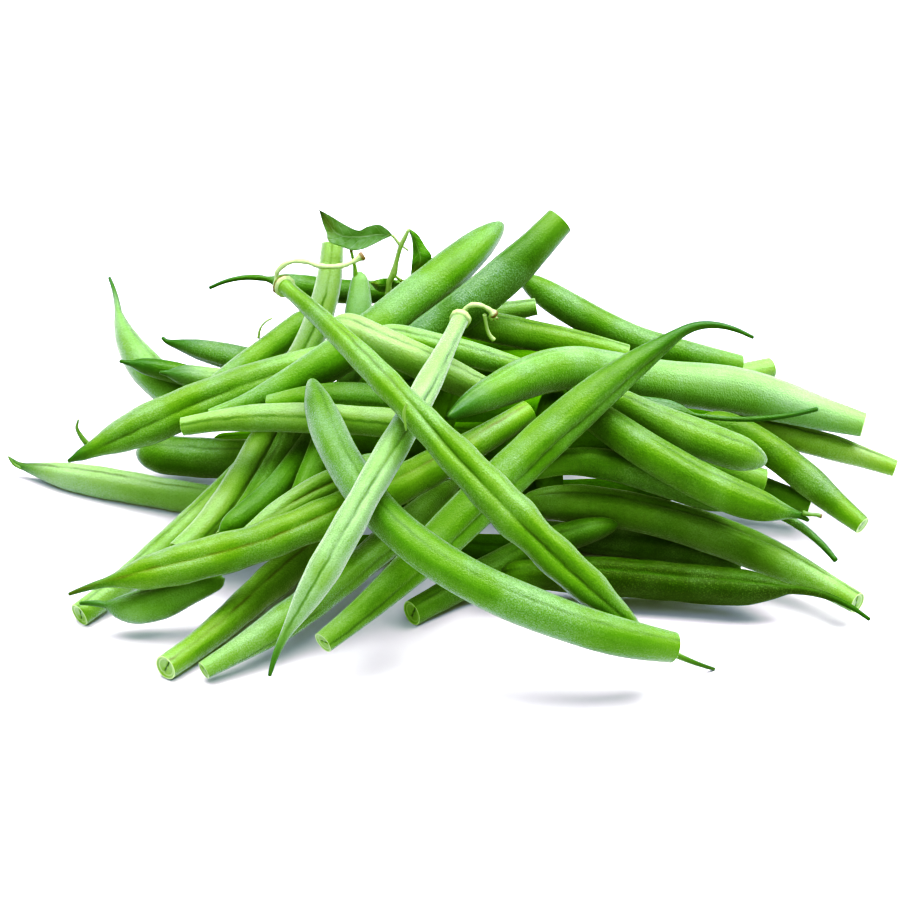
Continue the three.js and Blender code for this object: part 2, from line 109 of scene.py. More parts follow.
soft_light("key_right", (0.38, 0.08, 0.8), KEY_SIZE, 16.2, (1.0, 1.0, 1.0))
soft_light("key_left", (-0.3, 0.12, 0.84), KEY_SIZE, 12.4, (0.98, 1.0, 1.0))
soft_light("front_fill", (-0.1, -0.85, 0.8), FILL_SIZE, 4.4, (0.97, 0.99, 1.0))

world = bpy.data.worlds.new("bright_room")
world.use_nodes = True
surround = world.node_tree.nodes["Background"]
surround.inputs["Color"].default_value = SURROUND_COLOUR
surround.inputs["Strength"].default_value = SURROUND_STRENGTH
bpy.context.scene.world = world

# %% [markdown]
# ## Tone
# The ground should come out clean white and the greens deep and clear. Stronger colours in every
# material could do that too, but they would have to be found again after each change of the
# lights. The view settings do it for all materials at once: more exposure, and for each of red,
# green and blue a curve that keeps the light tones and deepens the dark ones.

# %% Tone
EXPOSURE, GAMMA = 0.45, 0.8
# For channels 0 to 2, red to blue: points of (brightness before, brightness after).
TONES = {
    0: ((0.06, 0.045), (0.30, 0.31)),
    1: ((0.07, 0.06), (0.31, 0.33), (0.65, 0.62)),
    2: ((0.04, 0.012), (0.08, 0.05), (0.20, 0.25), (0.50, 0.54)),
}
view = bpy.context.scene.view_settings
view.view_transform = "Standard"
view.exposure = EXPOSURE
view.gamma = GAMMA
view.use_curve_mapping = True
for channel, points in TONES.items():
    for before, after in points:
        view.curve_mapping.curves[channel].points.new(before, after)
view.curve_mapping.update()
print("points on each curve:", [len(curve.points) for curve in view.curve_mapping.curves])

# %% [markdown] ## The floor The heap lies on a plain white surface. It is one square, far wider
# than the view, so that its edge never shows; a curved backdrop would give the same white with
# more faces. A little gloss keeps it from looking like paper.

# %% Floor
FLOOR_REACH = 6.0
FLOOR_CORNERS = ((-1, -1), (1, -1), (1, 1), (-1, 1))
FLOOR_WHITE = (0.63, 0.635, 0.635, 1)

floor_mesh = bpy.data.meshes.new("floor")
floor_points = [(x * FLOOR_REACH, y * FLOOR_REACH, 0) for x, y in FLOOR_CORNERS]
floor_mesh.from_pydata(floor_points, [], [(0, 1, 2, 3)])
floor = bpy.data.objects.new("floor", floor_mesh)
bpy.context.scene.collection.objects.link(floor)
floor_finish = bpy.data.materials.new("white_floor")
floor_finish.use_nodes = True
floor_shader = floor_finish.node_tree.nodes["Principled BSDF"]
floor_shader.inputs["Base Color"].default_value = FLOOR_WHITE
floor_shader.inputs["Roughness"].default_value = 0.35
floor_shader.inputs["Specular IOR Level"].default_value = 0.3
floor_mesh.materials.append(floor_finish)
print("floor is", 2 * FLOOR_REACH, "m wide")

# %% [markdown]
# ## Reading a pod from its solid
# Each solid is a row of eight-cornered rings with one point in the middle of either end. The pod's
# course could be written down a second time, but it is safer to read it from the solid: walking
# from one end point to the other, ring by ring, gives the centre line and the girth. The stem end
# is flat, so its end point lies in its ring, while the tip's stands a little ahead.

# %% Rings of a solid
SOLID_SIDES = 8
WELD = 0.002 * MM


def rings_of(node):
    """Centres (n, 3) and radii (n) of the rings of a pod's solid in mm, from stem end to tip."""
    solid = bmesh.new()
    solid.from_mesh(frame["nodes"][node].data)
    bmesh.ops.remove_doubles(solid, verts=solid.verts, dist=WELD)
    start, finish = [v for v in solid.verts if len(v.link_edges) == SOLID_SIDES]
    seen_before = {start}
    ring = [start]
    centres, radii = [], []
    while True:
        ring = list({e.other_vert(v) for v in ring for e in v.link_edges} - seen_before)
        seen_before.update(ring)
        if len(ring) < SOLID_SIDES:
            break
        corners = np.array([v.co for v in ring]) / MM
        centres.append(corners.mean(0))
        radii.append(np.linalg.norm(corners - centres[-1], axis=1).mean())
    start_gap = np.linalg.norm(np.array(start.co) / MM - centres[0])
    finish_gap = np.linalg.norm(np.array(finish.co) / MM - centres[-1])
    solid.free()
    turn = 1 if start_gap < finish_gap else -1
    return np.array(centres)[::turn], np.array(radii)[::turn]


pods = {node: rings_of(node) for node in frame["nodes"] if node.startswith("bean_")}
print("pods read:", len(pods), "rings in all:", sum(len(radii) for _, radii in pods.values()))

# %% [markdown]
# ## What each pod looks like
# A green bean has a seam along either edge, where its two halves meet. In a heap every pod lies
# turned its own way, so the seam runs in the middle of one pod and along the edge of another. Ripe
# pods are dark and knobbly, young ones pale and smooth. All of it could be left to chance, but the
# eye knows a heap by the pods on its outside, so each of those gets its own listed traits.

# %% The traits of a pod
# seam: pairs of (share of the length from the stem end, how far across the front side the seam
# lies there): -1 is the upper or left edge, 0 the middle, 1 the lower or right edge, 2 the back.
# groove: how deeply the seam is drawn in. seeds: how much the seeds swell. tint: 0 pale, 1 dark,
# above 1 painted shade for a pod lying in the shade of others. warm: 0 blue-green, 1 yellow-green.
# brown: how brown the seam is. flat: how flat the pod is. beak: how far the dark colour of the beak
# reaches. stem: "cut" or "round". fade: how much darker the tip is than the stem end.
# bloom: how silvery the fuzz is, with the painted sheen of its pale patches, and how much
# gloss and sheen the skin has.
# tail: how much thicker the beak is than on its solid.
def look(seam, groove=0.3, seeds=0.25, tint=0.45, warm=0.5, brown=0.1, flat=0.03, beak=1.0,
         stem="cut", fade=0.0, bloom=0.6, tail=1.0):
    """The traits of one pod, by their names."""
    traits = dict(seam=seam, groove=groove, seeds=seeds, tint=tint, warm=warm, brown=brown)
    return dict(traits, flat=flat, beak=beak, stem=stem, fade=fade, bloom=bloom, tail=tail)


print("a plain pod:", look([(0, 0), (1, 0)]))

# %% The pods on top
LOOKS = {
    "top_curved": look([(0, -0.5), (0.5, -0.35), (1, -0.5)], 0.2, 0.05, 0.5, 0.32, bloom=0.7),
    "top_pale": look([(0, 0.6), (0.35, 0.35), (0.55, 0), (0.8, -0.1), (1, 0)], 0.9, 0.3, 0.2, 0.42),
    "top_diagonal": look([(0, -0.9), (0.3, -0.4), (0.45, 0), (1, 0.05)], 1.3, 1.0, 0.48, 0.6, 0.2),
    "top_right_long": look(
        [(0, 0.5), (0.4, 0.55), (0.8, 0.6), (1, 0.5)], 0.95, 0.25, 0.56, 0.55, fade=0.4, beak=3.0
    ),
    "top_level": look([(0, -0.2), (1, 0.1)], 0.25, 0.15, 0.16, 0.6),
    "top_level_thin": look([(0, 0.5), (1, 0.4)], 0.3, 0.1, 0.55, 0.5),
    "top_left_long": look([(0, -0.55), (0.3, -0.4), (0.6, -0.05), (1, -0.3)], 0.75, 0.6, 0.46, 0.8, 0.85),
}
print("looks given on top:", len(LOOKS))

# %% The pods in front
LOOKS |= {
    "front_left_beak": look([(0, -0.9), (1, -0.8)], 0.2, 0.2, 0.22, 0.35, stem="round"),
    "front_left_end": look([(0, -0.6), (1, -0.8)], 0.3, 0.3, 0.28, 0.6),
    "front_inner_a": look([(0, 0.5), (1, 0.6)], 0.3, 0.3, 0.25, 0.65),
    "front_inner_b": look([(0, -0.7), (1, -0.6)], 0.4, 0.2, 0.5, 0.55),
    "front_inner_c": look([(0, 0.9), (1, 0.9)], 0.3, 0.2, 0.6, 0.35),
    "front_inner_d": look([(0, 1.2), (1, 1.2)], 0.3, 0.2, 0.6, 0.4),
    "front_inner_e": look([(0, -0.2), (1, 0.1)], 0.8, 0.3, 0.26, 0.6, 0.6),
    "front_cut": look([(0, -0.3), (0.5, -0.25), (1, -0.4)], 0.6, 0.5, 0.34, 0.7, 0.7),
    "front_middle": look([(0, 0.9), (0.6, 0.5), (1, 0.4)], 0.35, 0.6, 0.34, 0.5),
    "front_short": look([(0, -0.4), (1, -0.5)], 0.4, 0.3, 0.62, 0.5),
    # Its tint of 1.4 is painted shade: this pod lies in the shade of the pods above it.
    "front_right": look(
        [(0, -0.45), (0.6, -0.35), (1, -0.5)], 0.6, 0.35, 1.4, 0.75, stem="round", bloom=0.25
    ),
}
print("with those in front:", len(LOOKS))

# %% The pods on the right
LOOKS |= {
    "right_upper": look([(0, -0.75), (1, -0.7)], 0.45, 0.15, 0.62, 0.65, beak=0.5),
    "right_long": look([(0, -0.8), (0.6, -0.72), (1, -0.6)], 0.6, 0.25, 0.28, 0.55, bloom=0.5),
    "right_hooked": look([(0, -0.6), (1, -0.6)], 0.3, 0.2, 0.6, 0.5, tail=1.5),
    "right_on_surface": look([(0, 0.6), (1, 0.6)], 0.2, 0.2, 0.75, 0.5),
    "right_rounded": look([(0, -0.55), (1, -0.6)], 0.3, 0.3, 0.34, 0.5, bloom=0.5),
    "right_stem_end": look([(0, -0.9), (1, -0.9)], 0.2, 0.2, 0.62, 0.8),
    "right_far_end": look([(0, -0.75), (1, -0.7)], 0.3, 0.2, 0.18, 0.8),
    "right_thick": look([(0, 1.5), (1, 1.5)], 0.2, 0.15, 0.3, 0.3, fade=0.6, bloom=0.8),
    "right_beaked_dark": look([(0, -0.6), (1, -0.5)], 0.3, 0.1, 0.8, 0.35, beak=2.2, tail=1.3),
    "right_behind": look([(0, 0.7), (1, 0.7)], 0.2, 0.2, 0.25, 0.5),
    "right_low_pale": look([(0, 0.8), (1, 0.8)], 0.2, 0.2, 0.35, 0.45),
    "right_low_dark": look([(0, 0.8), (1, 0.8)], 0.2, 0.2, 0.7, 0.4),
}
print("with those on the right:", len(LOOKS))

# %% The pods along the crest and behind it
LOOKS |= {
    "back_right": look([(0, 1.3), (1, 1.3)], 0.2, 0.15, 0.6, 0.35),
    "crest_raised": look([(0, 1.3), (1, 1.3)], 0.2, 0.1, 0.85, 0.5, bloom=0.9),
    "back_thick": look([(0, 0.85), (1, 0.9)], 0.25, 0.2, 0.5, 0.3, fade=0.15),
    "crest_level": look([(0, -0.8), (1, -0.8)], 0.3, 0.2, 0.4, 0.6),
    "crest_thin": look([(0, -0.7), (1, -0.7)], 0.3, 0.2, 0.3, 0.5),
    "crest_front": look([(0, -0.7), (1, -0.65)], 0.6, 0.2, 0.12, 0.6),
    "crest_slim": look([(0, -0.5), (1, -0.5)], 0.5, 0.2, 0.35, 0.5),
    "back_upright": look([(0, 0.05), (0.4, 0), (1, -0.2)], 0.7, 0.1, 0.06, 0.6),
    "back_stalked": look([(0, 1.2), (1, 1.2)], 0.2, 0.1, 0.2, 0.2, stem="round"),
    "back_long_beak": look([(0, 0.8), (1, 0.8)], 0.2, 0.1, 0.7, 0.3),
}
print("with those along the crest:", len(LOOKS))

# %% The pods on the left
LOOKS |= {
    "left_upper_thin": look([(0, 0.7), (1, 0.7)], 0.3, 0.2, 0.45, 0.5),
    "left_upper_dark": look([(0, 0.9), (1, 0.8)], 0.3, 0.2, 0.66, 0.55),
    "left_upper_pale": look([(0, -0.5), (1, -0.5)], 0.4, 0.2, 0.2, 0.5),
    "left_upper_low": look([(0, -0.8), (1, -0.8)], 0.3, 0.2, 0.75, 0.4),
    "back_far_left": look([(0, -0.8), (1, -0.8)], 0.2, 0.2, 0.36, 0.3),
    "left_long_tip": look([(0, -0.1), (0.5, 0), (1, 0.25)], 0.8, 0.4, 0.45, 0.65, 0.2, beak=0.6),
    "left_flat": look([(0, -0.75), (0.6, -0.65), (1, -0.6)], 0.5, 0.4, 0.1, 0.5, 0.3, 0.07),
    "left_under": look([(0, -0.5), (1, -0.5)], 0.4, 0.3, 0.52, 0.6, stem="round"),
}
print("with those on the left:", len(LOOKS))

# %% [markdown]
# ## The pods inside the heap
# The beans that carry the others hardly show, only as dark green in the gaps. They could be left
# out, but then the floor would shine through and the upper beans would hang in the air. They draw
# their seam and colour from a fixed seed, so that every run gives the same heap, and have no fuzz,
# painted sheen, gloss or sheen, which keeps the gaps dark.

# %% The pods inside the heap
HIDDEN_TINT = 0.62
HIDDEN_GROOVE, HIDDEN_SEEDS = 0.4, 0.3
HIDDEN_WARMTH = (0.4, 0.7)
SEAM_SIDES = (-1, 2)
SEAM_TURN = 0.2

hidden_seed = random.Random(11)
for node in sorted(pods):
    side = hidden_seed.uniform(*SEAM_SIDES)
    warm = hidden_seed.uniform(*HIDDEN_WARMTH)
    seam = [(0, side), (1, side + SEAM_TURN)]
    drawn = look(seam, HIDDEN_GROOVE, HIDDEN_SEEDS, HIDDEN_TINT, warm, stem="round", bloom=0.0)
    LOOKS.setdefault(node.removeprefix("bean_"), drawn)
print("looks in all:", len(LOOKS))

# %% [markdown]
# ## The line of a pod
# A real pod bends smoothly, while its solid has a ring only every few millimetres. A Bezier curve
# with a bevel could round it off, but would give no place to draw in the seam. So a cubic curve is
# led through the centres and through the squares of the radii, and read off once a millimetre, with
# more rings towards both ends, where the girth changes fast.

# %% A smooth curve through known points
def through(knots, values, at):
    """Cubic curve through values at knots, read at the places at."""
    slopes = np.gradient(values, knots, axis=0)
    i = np.clip(np.searchsorted(knots, at, side="right") - 1, 0, len(knots) - 2)
    span = knots[i + 1] - knots[i]
    u = (at - knots[i]) / span
    if values.ndim > 1:
        span, u = span[:, None], u[:, None]
    first = (1 + 2 * u) * (1 - u) ** 2 * values[i] + u * (1 - u) ** 2 * span * slopes[i]
    second = u * u * (3 - 2 * u) * values[i + 1] - u * u * (1 - u) * span * slopes[i + 1]
    return first + second


def distances(points):
    """How far along a row of points each of them lies."""
    steps = np.linalg.norm(np.diff(points, axis=0), axis=1)
    return np.concatenate([[0], np.cumsum(steps)])


corner = np.array([(0.0, 0), (10, 0), (10, 10)])
print("a corner, rounded at", through(distances(corner), corner, np.array([8.0, 12.0])).round(2).tolist())

# %% The line of a pod
RING_GAP = 1.0
FEWEST_RINGS = 12
EVEN_SHARE = 0.75
STALK_LIMIT = 1.35


def body_start(radii):
    """The number of the first ring that is too thick to belong to the stalk."""
    return int(np.argmax(radii > STALK_LIMIT))


def line_of(node):
    """Centre, radius and distance from the stem end of close rings in mm, without the stalk."""
    centres, radii = pods[node]
    body = body_start(radii)
    centres, radii = centres[body:], radii[body:]
    knots = distances(centres)
    count = max(FEWEST_RINGS, int(knots[-1] / RING_GAP))
    crowded = 0.5 - 0.5 * np.cos(np.linspace(0, np.pi, count))
    at = knots[-1] * (EVEN_SHARE * np.linspace(0, 1, count) + (1 - EVEN_SHARE) * crowded)
    square = through(knots, radii**2, at)
    lowest, highest = (radii**2).min(), (radii**2).max()
    return through(knots, centres, at), np.sqrt(np.clip(square, lowest, highest)), at


centre, radius, along = line_of("bean_top_diagonal")
print("top_diagonal is", round(along[-1], 1), "mm long and", round(2 * radius.max(), 1), "mm thick")

# %% [markdown]
# ## Where the seam lies
# The seam of a pod can be seen in the middle, at an edge or not at all. It could be given as an
# angle about the centre line, but a pod that bends through space has no fixed zero angle. So it is
# given by how far across the visible side it lies, and the angle is worked out from the view.

# %% The side where the seam lies
FRONT = np.array(toward_viewer)
LOWER_OR_RIGHT = np.array((0.35, 0, -1))


def unit(vectors):
    """Vectors of length one."""
    return vectors / np.linalg.norm(vectors, axis=-1, keepdims=True)


def seam_sides(centre, seam, share):
    """Unit vectors along the pod, toward the seam and across it, at each ring."""
    ahead = unit(np.gradient(centre, axis=0))
    facing = unit(FRONT - ahead * (ahead @ FRONT)[:, None])
    across = np.cross(ahead, facing)
    across *= np.sign(np.median(across @ LOWER_OR_RIGHT))
    places, sides = np.array(seam).T
    side = np.interp(share, places, sides)
    inside = np.arcsin(np.clip(side, -1, 1))
    beyond = np.sign(side) * np.clip(np.abs(side) - 1, 0, None) * np.pi / 2
    turn = (inside + beyond)[:, None]
    toward_seam = np.cos(turn) * facing + np.sin(turn) * across
    return ahead, toward_seam, np.cross(ahead, toward_seam)


ahead, toward_seam, _ = seam_sides(centre, LOOKS["top_diagonal"]["seam"], along / along[-1])
print("its seam looks toward", toward_seam[len(along) // 2].round(2), "halfway")

# %% [markdown]
# ## The section of a pod
# Cut across, a bean is nearly round. The seam draws it in by a wide soft fold with a narrow groove
# between two low lips, the opposite edge is a slight ridge, and the seeds press it out on both
# flanks, least at the edges. A bump map could fake the groove, but not the outline that it and the
# seeds give the pod. All of it is a sum of humps over a circle of radius one.

# %% Seam and ridge
FOLD_DEPTH, FOLD_WIDTH = 0.19, 0.4
GROOVE_DEPTH, GROOVE_WIDTH = 0.09, 0.15
LIP_HEIGHT, LIP_PLACE, LIP_WIDTH = 0.035, 0.52, 0.26
RIDGE_HEIGHT, RIDGE_WIDTH = 0.02, 0.16
SEAM_AT_STEM, SEAM_START, SEAM_RUN_IN = 0.35, 0.06, 0.25
FADE_MIDDLE, FADE_SWING, FADE_PITCH = 0.78, 0.22, (0.15, 0.3)
ANY_START = (0, 6.3)


def bump(x, width):
    """A smooth hump of height one."""
    return np.exp(-((x / width) ** 2))


def with_seam(away, body, along, traits, chance):
    """A circle of radius one with the seam, its lips, the ridge and the pod's flatness."""
    opened = np.clip((along / along[-1] - SEAM_START) / SEAM_RUN_IN, 0, 1)
    pitch, start = chance.uniform(*FADE_PITCH), chance.uniform(*ANY_START)
    fading = FADE_MIDDLE + FADE_SWING * np.sin(along * pitch + start)
    strength = traits["groove"] * (SEAM_AT_STEM + (1 - SEAM_AT_STEM) * opened) * fading
    groove = strength[:, None] * body
    shape = 1 - groove * FOLD_DEPTH * bump(away, FOLD_WIDTH)
    shape = shape - groove * GROOVE_DEPTH * bump(away, GROOVE_WIDTH)
    shape = shape + groove * LIP_HEIGHT * bump(away - LIP_PLACE, LIP_WIDTH)
    shape = shape + RIDGE_HEIGHT * body * bump(math.pi - away, RIDGE_WIDTH)
    return shape + traits["flat"] * np.cos(2 * away) * body


print("a fold of", FOLD_DEPTH, "and a groove of", GROOVE_DEPTH, "of the radius")

# %% Seeds
SEED_GAP = 10.5
SEED_HEIGHT, SEED_HALF_LENGTH = 0.17, 3.8
FIRST_SEED, LAST_SEED = 0.18, 0.93
SEED_STRENGTH, SEED_SPACING = (0.5, 1), (0.8, 1.25)
EDGE_SWELL = 0.45


def with_seeds(shape, away, body, along, traits, chance):
    """The section with seeds swelling under it, each with its own strength and gap."""
    length = along[-1]
    seeds = np.zeros_like(along)
    place = FIRST_SEED * length + chance.uniform(0, SEED_GAP)
    while place < LAST_SEED * length:
        seeds += chance.uniform(*SEED_STRENGTH) * bump(along - place, SEED_HALF_LENGTH)
        place += SEED_GAP * chance.uniform(*SEED_SPACING)
    swell = traits["seeds"] * SEED_HEIGHT * (seeds[:, None] - 0.5)
    return shape + swell * (EDGE_SWELL + (1 - EDGE_SWELL) * np.sin(away) ** 2) * body


print("one seed about every", SEED_GAP, "mm")

# %% Growth waves
WAVES = 6
WAVE_HEIGHT = 0.011
WAVE_PITCH = (0.05, 0.28)
WAVE_LOBES = (0, 1, 2, 2, 3)


def with_waves(shape, angle, body, along, chance):
    """The section with long shallow waves, because nothing grown is quite even."""
    for _ in range(WAVES):
        pitch, lobes = chance.uniform(*WAVE_PITCH), chance.choice(WAVE_LOBES)
        start = chance.uniform(*ANY_START)
        wave = np.sin(along * pitch + start)[:, None] * np.cos(lobes * angle + start)[None, :]
        shape = shape + WAVE_HEIGHT * wave * body
    return shape


def section(angle, radius, along, traits, chance):
    """Distance from the centre line to the skin for every ring and corner."""
    away = np.abs(angle)[None, :]
    body = np.clip(radius / radius.max(), 0, 1)[:, None]
    shape = with_seam(away, body, along, traits, chance)
    shape = with_seeds(shape, away, body, along, traits, chance)
    return radius[:, None] * with_waves(shape, angle, body, along, chance)


print("waves on each pod:", WAVES)

# %% [markdown]
# ## From rings to a mesh
# The corners of every ring are joined to the next one. A subdivision surface on fewer rings would
# lose the narrow groove, so the rings are close and their corners crowd towards the seam, which
# lies at angle 0. Every corner also keeps three numbers under a name, so that the finishes can
# follow the seam, the ends and the traits of the pod without any unwrapping.

# %% The corners round a pod
CORNERS = 40
CROWDING = 1.45

steps = np.arange(-CORNERS // 2 + 1, CORNERS // 2 + 1) / (CORNERS / 2)
ANGLES = np.pi * np.sign(steps) * np.abs(steps) ** CROWDING
print("degrees between the corners at the seam:", round(math.degrees(ANGLES[CORNERS // 2]), 2))


# %% Faces between rings
def ring_faces(rows, corners):
    """Four-cornered faces between the rows of a grid that closes round."""
    faces = []
    for i in range(rows - 1):
        for k in range(corners):
            n = (k + 1) % corners
            faces.append((i * corners + k, i * corners + n, (i + 1) * corners + n, (i + 1) * corners + k))
    return faces


def smooth_steps(x, low, high):
    """0 below low, 1 above high and smooth between."""
    t = np.clip((x - low) / (high - low), 0, 1)
    return t * t * (3 - 2 * t)


def keep(mesh, name, values):
    """Stores three numbers for every corner of a mesh, for its finish to read."""
    attribute = mesh.attributes.new(name, "FLOAT_VECTOR", "POINT")
    attribute.data.foreach_set("vector", np.asarray(values, np.float32).ravel())


print("faces between two rings:", len(ring_faces(2, CORNERS)))

# %% [markdown]
# ## The two ends of a pod
# Some pods were cut at the stem end and show a face there: a thin raised rim, wet flesh sunk inside
# it and a slit between the two halves. Others end round, and most run out in a thin beak at the
# tip. A boolean cut would make the flat face, but leave no rings in it to shape. So the cut face
# is a set of smaller rings inside the first one, and a rounded end shrinks the first rings.

# %% A rounded stem end and a fuller beak
ROUND_REACH = 1.3
ROUND_LEAST = 0.03
TAIL_REACH = 24.0


def shaped_radius(radius, along, traits):
    """The radius of each ring, with a rounded stem end or a fuller beak where the pod has one."""
    length = along[-1]
    if traits["stem"] == "round":
        reach = ROUND_REACH * radius[0]
        rise = 1 - (1 - np.clip(along / reach, 0, 1)) ** 2
        radius = radius * np.sqrt(np.clip(rise, ROUND_LEAST, 1))
    fuller = smooth_steps(along, length - TAIL_REACH, length - TAIL_REACH / 2)
    return radius * (1 + (traits["tail"] - 1) * fuller)


rounded = shaped_radius(radius, along, LOOKS["left_under"])
print("a rounded end starts at", round(rounded[0] / radius[0], 2), "of its girth")

# %% How pale and how dark the ends are
STEM_PALE_REACH = 14.0
TIP_DARK_REACH = 16.0
BEAK_PROBE, BEAK_GIRTH = 3.5, 2.1


def end_marks(radius, along, traits):
    """For each ring: how pale the stem end is, how dark the beak is and how brown the seam is."""
    length = along[-1]
    has_beak = np.interp(length - BEAK_PROBE, along, radius) < BEAK_GIRTH
    pale = 1 - smooth_steps(along, 0, STEM_PALE_REACH)
    dark = smooth_steps(along, length - TIP_DARK_REACH * traits["beak"], length - 1) * has_beak
    return np.stack([pale, dark, np.full(len(along), traits["brown"])], -1)


print("marks at the tip of top_diagonal:", end_marks(radius, along, LOOKS["top_diagonal"])[-1])

# %% The cut face
# Each ring of the cut face: its share of the first ring, and its depth as a share of the radius.
CUT_RINGS = (
    (1.0, 0.0), (0.985, -0.015), (0.95, -0.03), (0.9, 0.0), (0.82, 0.05),
    (0.7, 0.08), (0.55, 0.1), (0.38, 0.12), (0.2, 0.13),
)
CUT_MIDDLE = 0.13
SLIT_DEPTH, SLIT_HALF, SLIT_REACH = 0.12, 0.09, 0.75


def cut_face(centre, axes, y, z, girth, first):
    """Corners, their places on the pod and faces inside the first ring, numbered from first."""
    ahead, toward_seam, across = axes
    corners, places = [], []
    for part, depth in CUT_RINGS:
        ring_y, ring_z = y * part, z * part
        slit = SLIT_DEPTH * girth * bump(ring_z / girth, SLIT_HALF) * (part < SLIT_REACH)
        ring = centre + ring_y[:, None] * toward_seam + ring_z[:, None] * across
        corners.append(ring + ahead * (depth * girth + slit)[:, None])
        places.append(np.stack([np.full(CORNERS, part), ring_y / girth, ring_z / girth], -1))
    corners.append((centre + ahead * CUT_MIDDLE * girth)[None])
    places.append(np.zeros((1, 3)))
    inner_faces = ring_faces(len(CUT_RINGS), CORNERS)
    faces = [(first + b, first + a, first + d, first + c) for a, b, c, d in inner_faces]
    ring = first + (len(CUT_RINGS) - 1) * CORNERS
    faces += [(ring + (k + 1) % CORNERS, ring + k, ring + CORNERS) for k in range(CORNERS)]
    return corners, places, faces


print("corners of a cut face:", len(CUT_RINGS) * CORNERS + 1)

# %% [markdown]
# ## One whole pod
# Now the pieces come together: the swept skin, a point that closes the tip, and the cut face. They
# could be three objects, but a pod is one thing, so they are one mesh whose faces use two
# materials. Skin and cut face each have the ring where they meet, which keeps the rim crisp. A
# corner that would reach below the floor is lifted onto it.

# %% The mesh of a pod
TIP_REACH = 0.3
BLOOM_AND_SHEEN_LEAST, BLOOM_AND_SHEEN_SPREAD = 0.8, 0.4


def pod_mesh(name, points, faces, skin_faces):
    """A smooth mesh whose first skin_faces faces are skin and whose other ones are cut face."""
    points[:, 2] = np.maximum(points[:, 2], 0)
    mesh = bpy.data.meshes.new(name)
    mesh.from_pydata((points * MM).tolist(), [], faces)
    mesh.shade_smooth()
    mesh.polygons.foreach_set("material_index", [0] * skin_faces + [1] * (len(faces) - skin_faces))
    return mesh


def pod_piece(node, chance):
    """The mesh object of one pod, from its solid and its looks."""
    traits = LOOKS[node.removeprefix("bean_")]
    centre, radius, along = line_of(node)
    length, rows = along[-1], len(along)
    radius = shaped_radius(radius, along, traits)
    ahead, toward_seam, across = seam_sides(centre, traits["seam"], along / length)
    skin = section(ANGLES, radius, along, traits, chance)
    y = skin * np.cos(ANGLES)[None, :]
    z = skin * np.sin(ANGLES)[None, :]
    points = centre[:, None] + y[..., None] * toward_seam[:, None] + z[..., None] * across[:, None]
    places = np.stack([np.broadcast_to(along[:, None], y.shape), y, z], -1)
    ends = end_marks(radius, along, traits)

    tip = rows * CORNERS
    last = tip - CORNERS
    faces = ring_faces(rows, CORNERS)
    faces += [(last + k, last + (k + 1) % CORNERS, tip) for k in range(CORNERS)]
    skin_faces = len(faces)
    tip_point = centre[-1] + ahead[-1] * min(TIP_REACH, radius[-1] * 0.5)
    axes = ahead[0], toward_seam[0], across[0]
    cut_points, cut_places, cut_faces = cut_face(centre[0], axes, y[0], z[0], radius[0], tip + 1)

    everything = np.concatenate([points.reshape(-1, 3), tip_point[None], *cut_points])
    where = np.concatenate([places.reshape(-1, 3), [(length, 0, 0)], *cut_places])
    cut_size = len(everything) - tip - 1
    marks = np.concatenate([np.repeat(ends, CORNERS, 0), ends[-1:], np.repeat(ends[:1], cut_size, 0)])
    tint = traits["tint"] + traits["fade"] * (where[:, 0] / length - 0.5)
    # How strongly the silvery fuzz, its painted sheen, the gloss and the sheen show on this pod.
    bloom = traits["bloom"] * (BLOOM_AND_SHEEN_LEAST + BLOOM_AND_SHEEN_SPREAD * chance.random())

    mesh = pod_mesh(node.replace("bean", "pod"), everything, faces + cut_faces, skin_faces)
    keep(mesh, "pod_space", where)
    keep(mesh, "pod_ends", marks)
    keep(mesh, "pod_look", np.stack(np.broadcast_arrays(tint, traits["warm"], bloom), -1))
    piece = bpy.data.objects.new(mesh.name, mesh)
    bpy.context.scene.collection.objects.link(piece)
    return piece


print("a pod of", len(along), "rings has", (len(along) + len(CUT_RINGS)) * CORNERS + 2, "corners")

# %% [markdown]
# ## A shorter way to wire nodes
# A material is a net of nodes. It could be wired by hand in the editor, but then it could not be
# read or repeated here. Each method of this helper adds one kind of node and takes either plain
# values or the outputs of other nodes, so that a finish reads like a list of steps.

# %% Recipe
TO_MM = (1000, 1000, 1000)


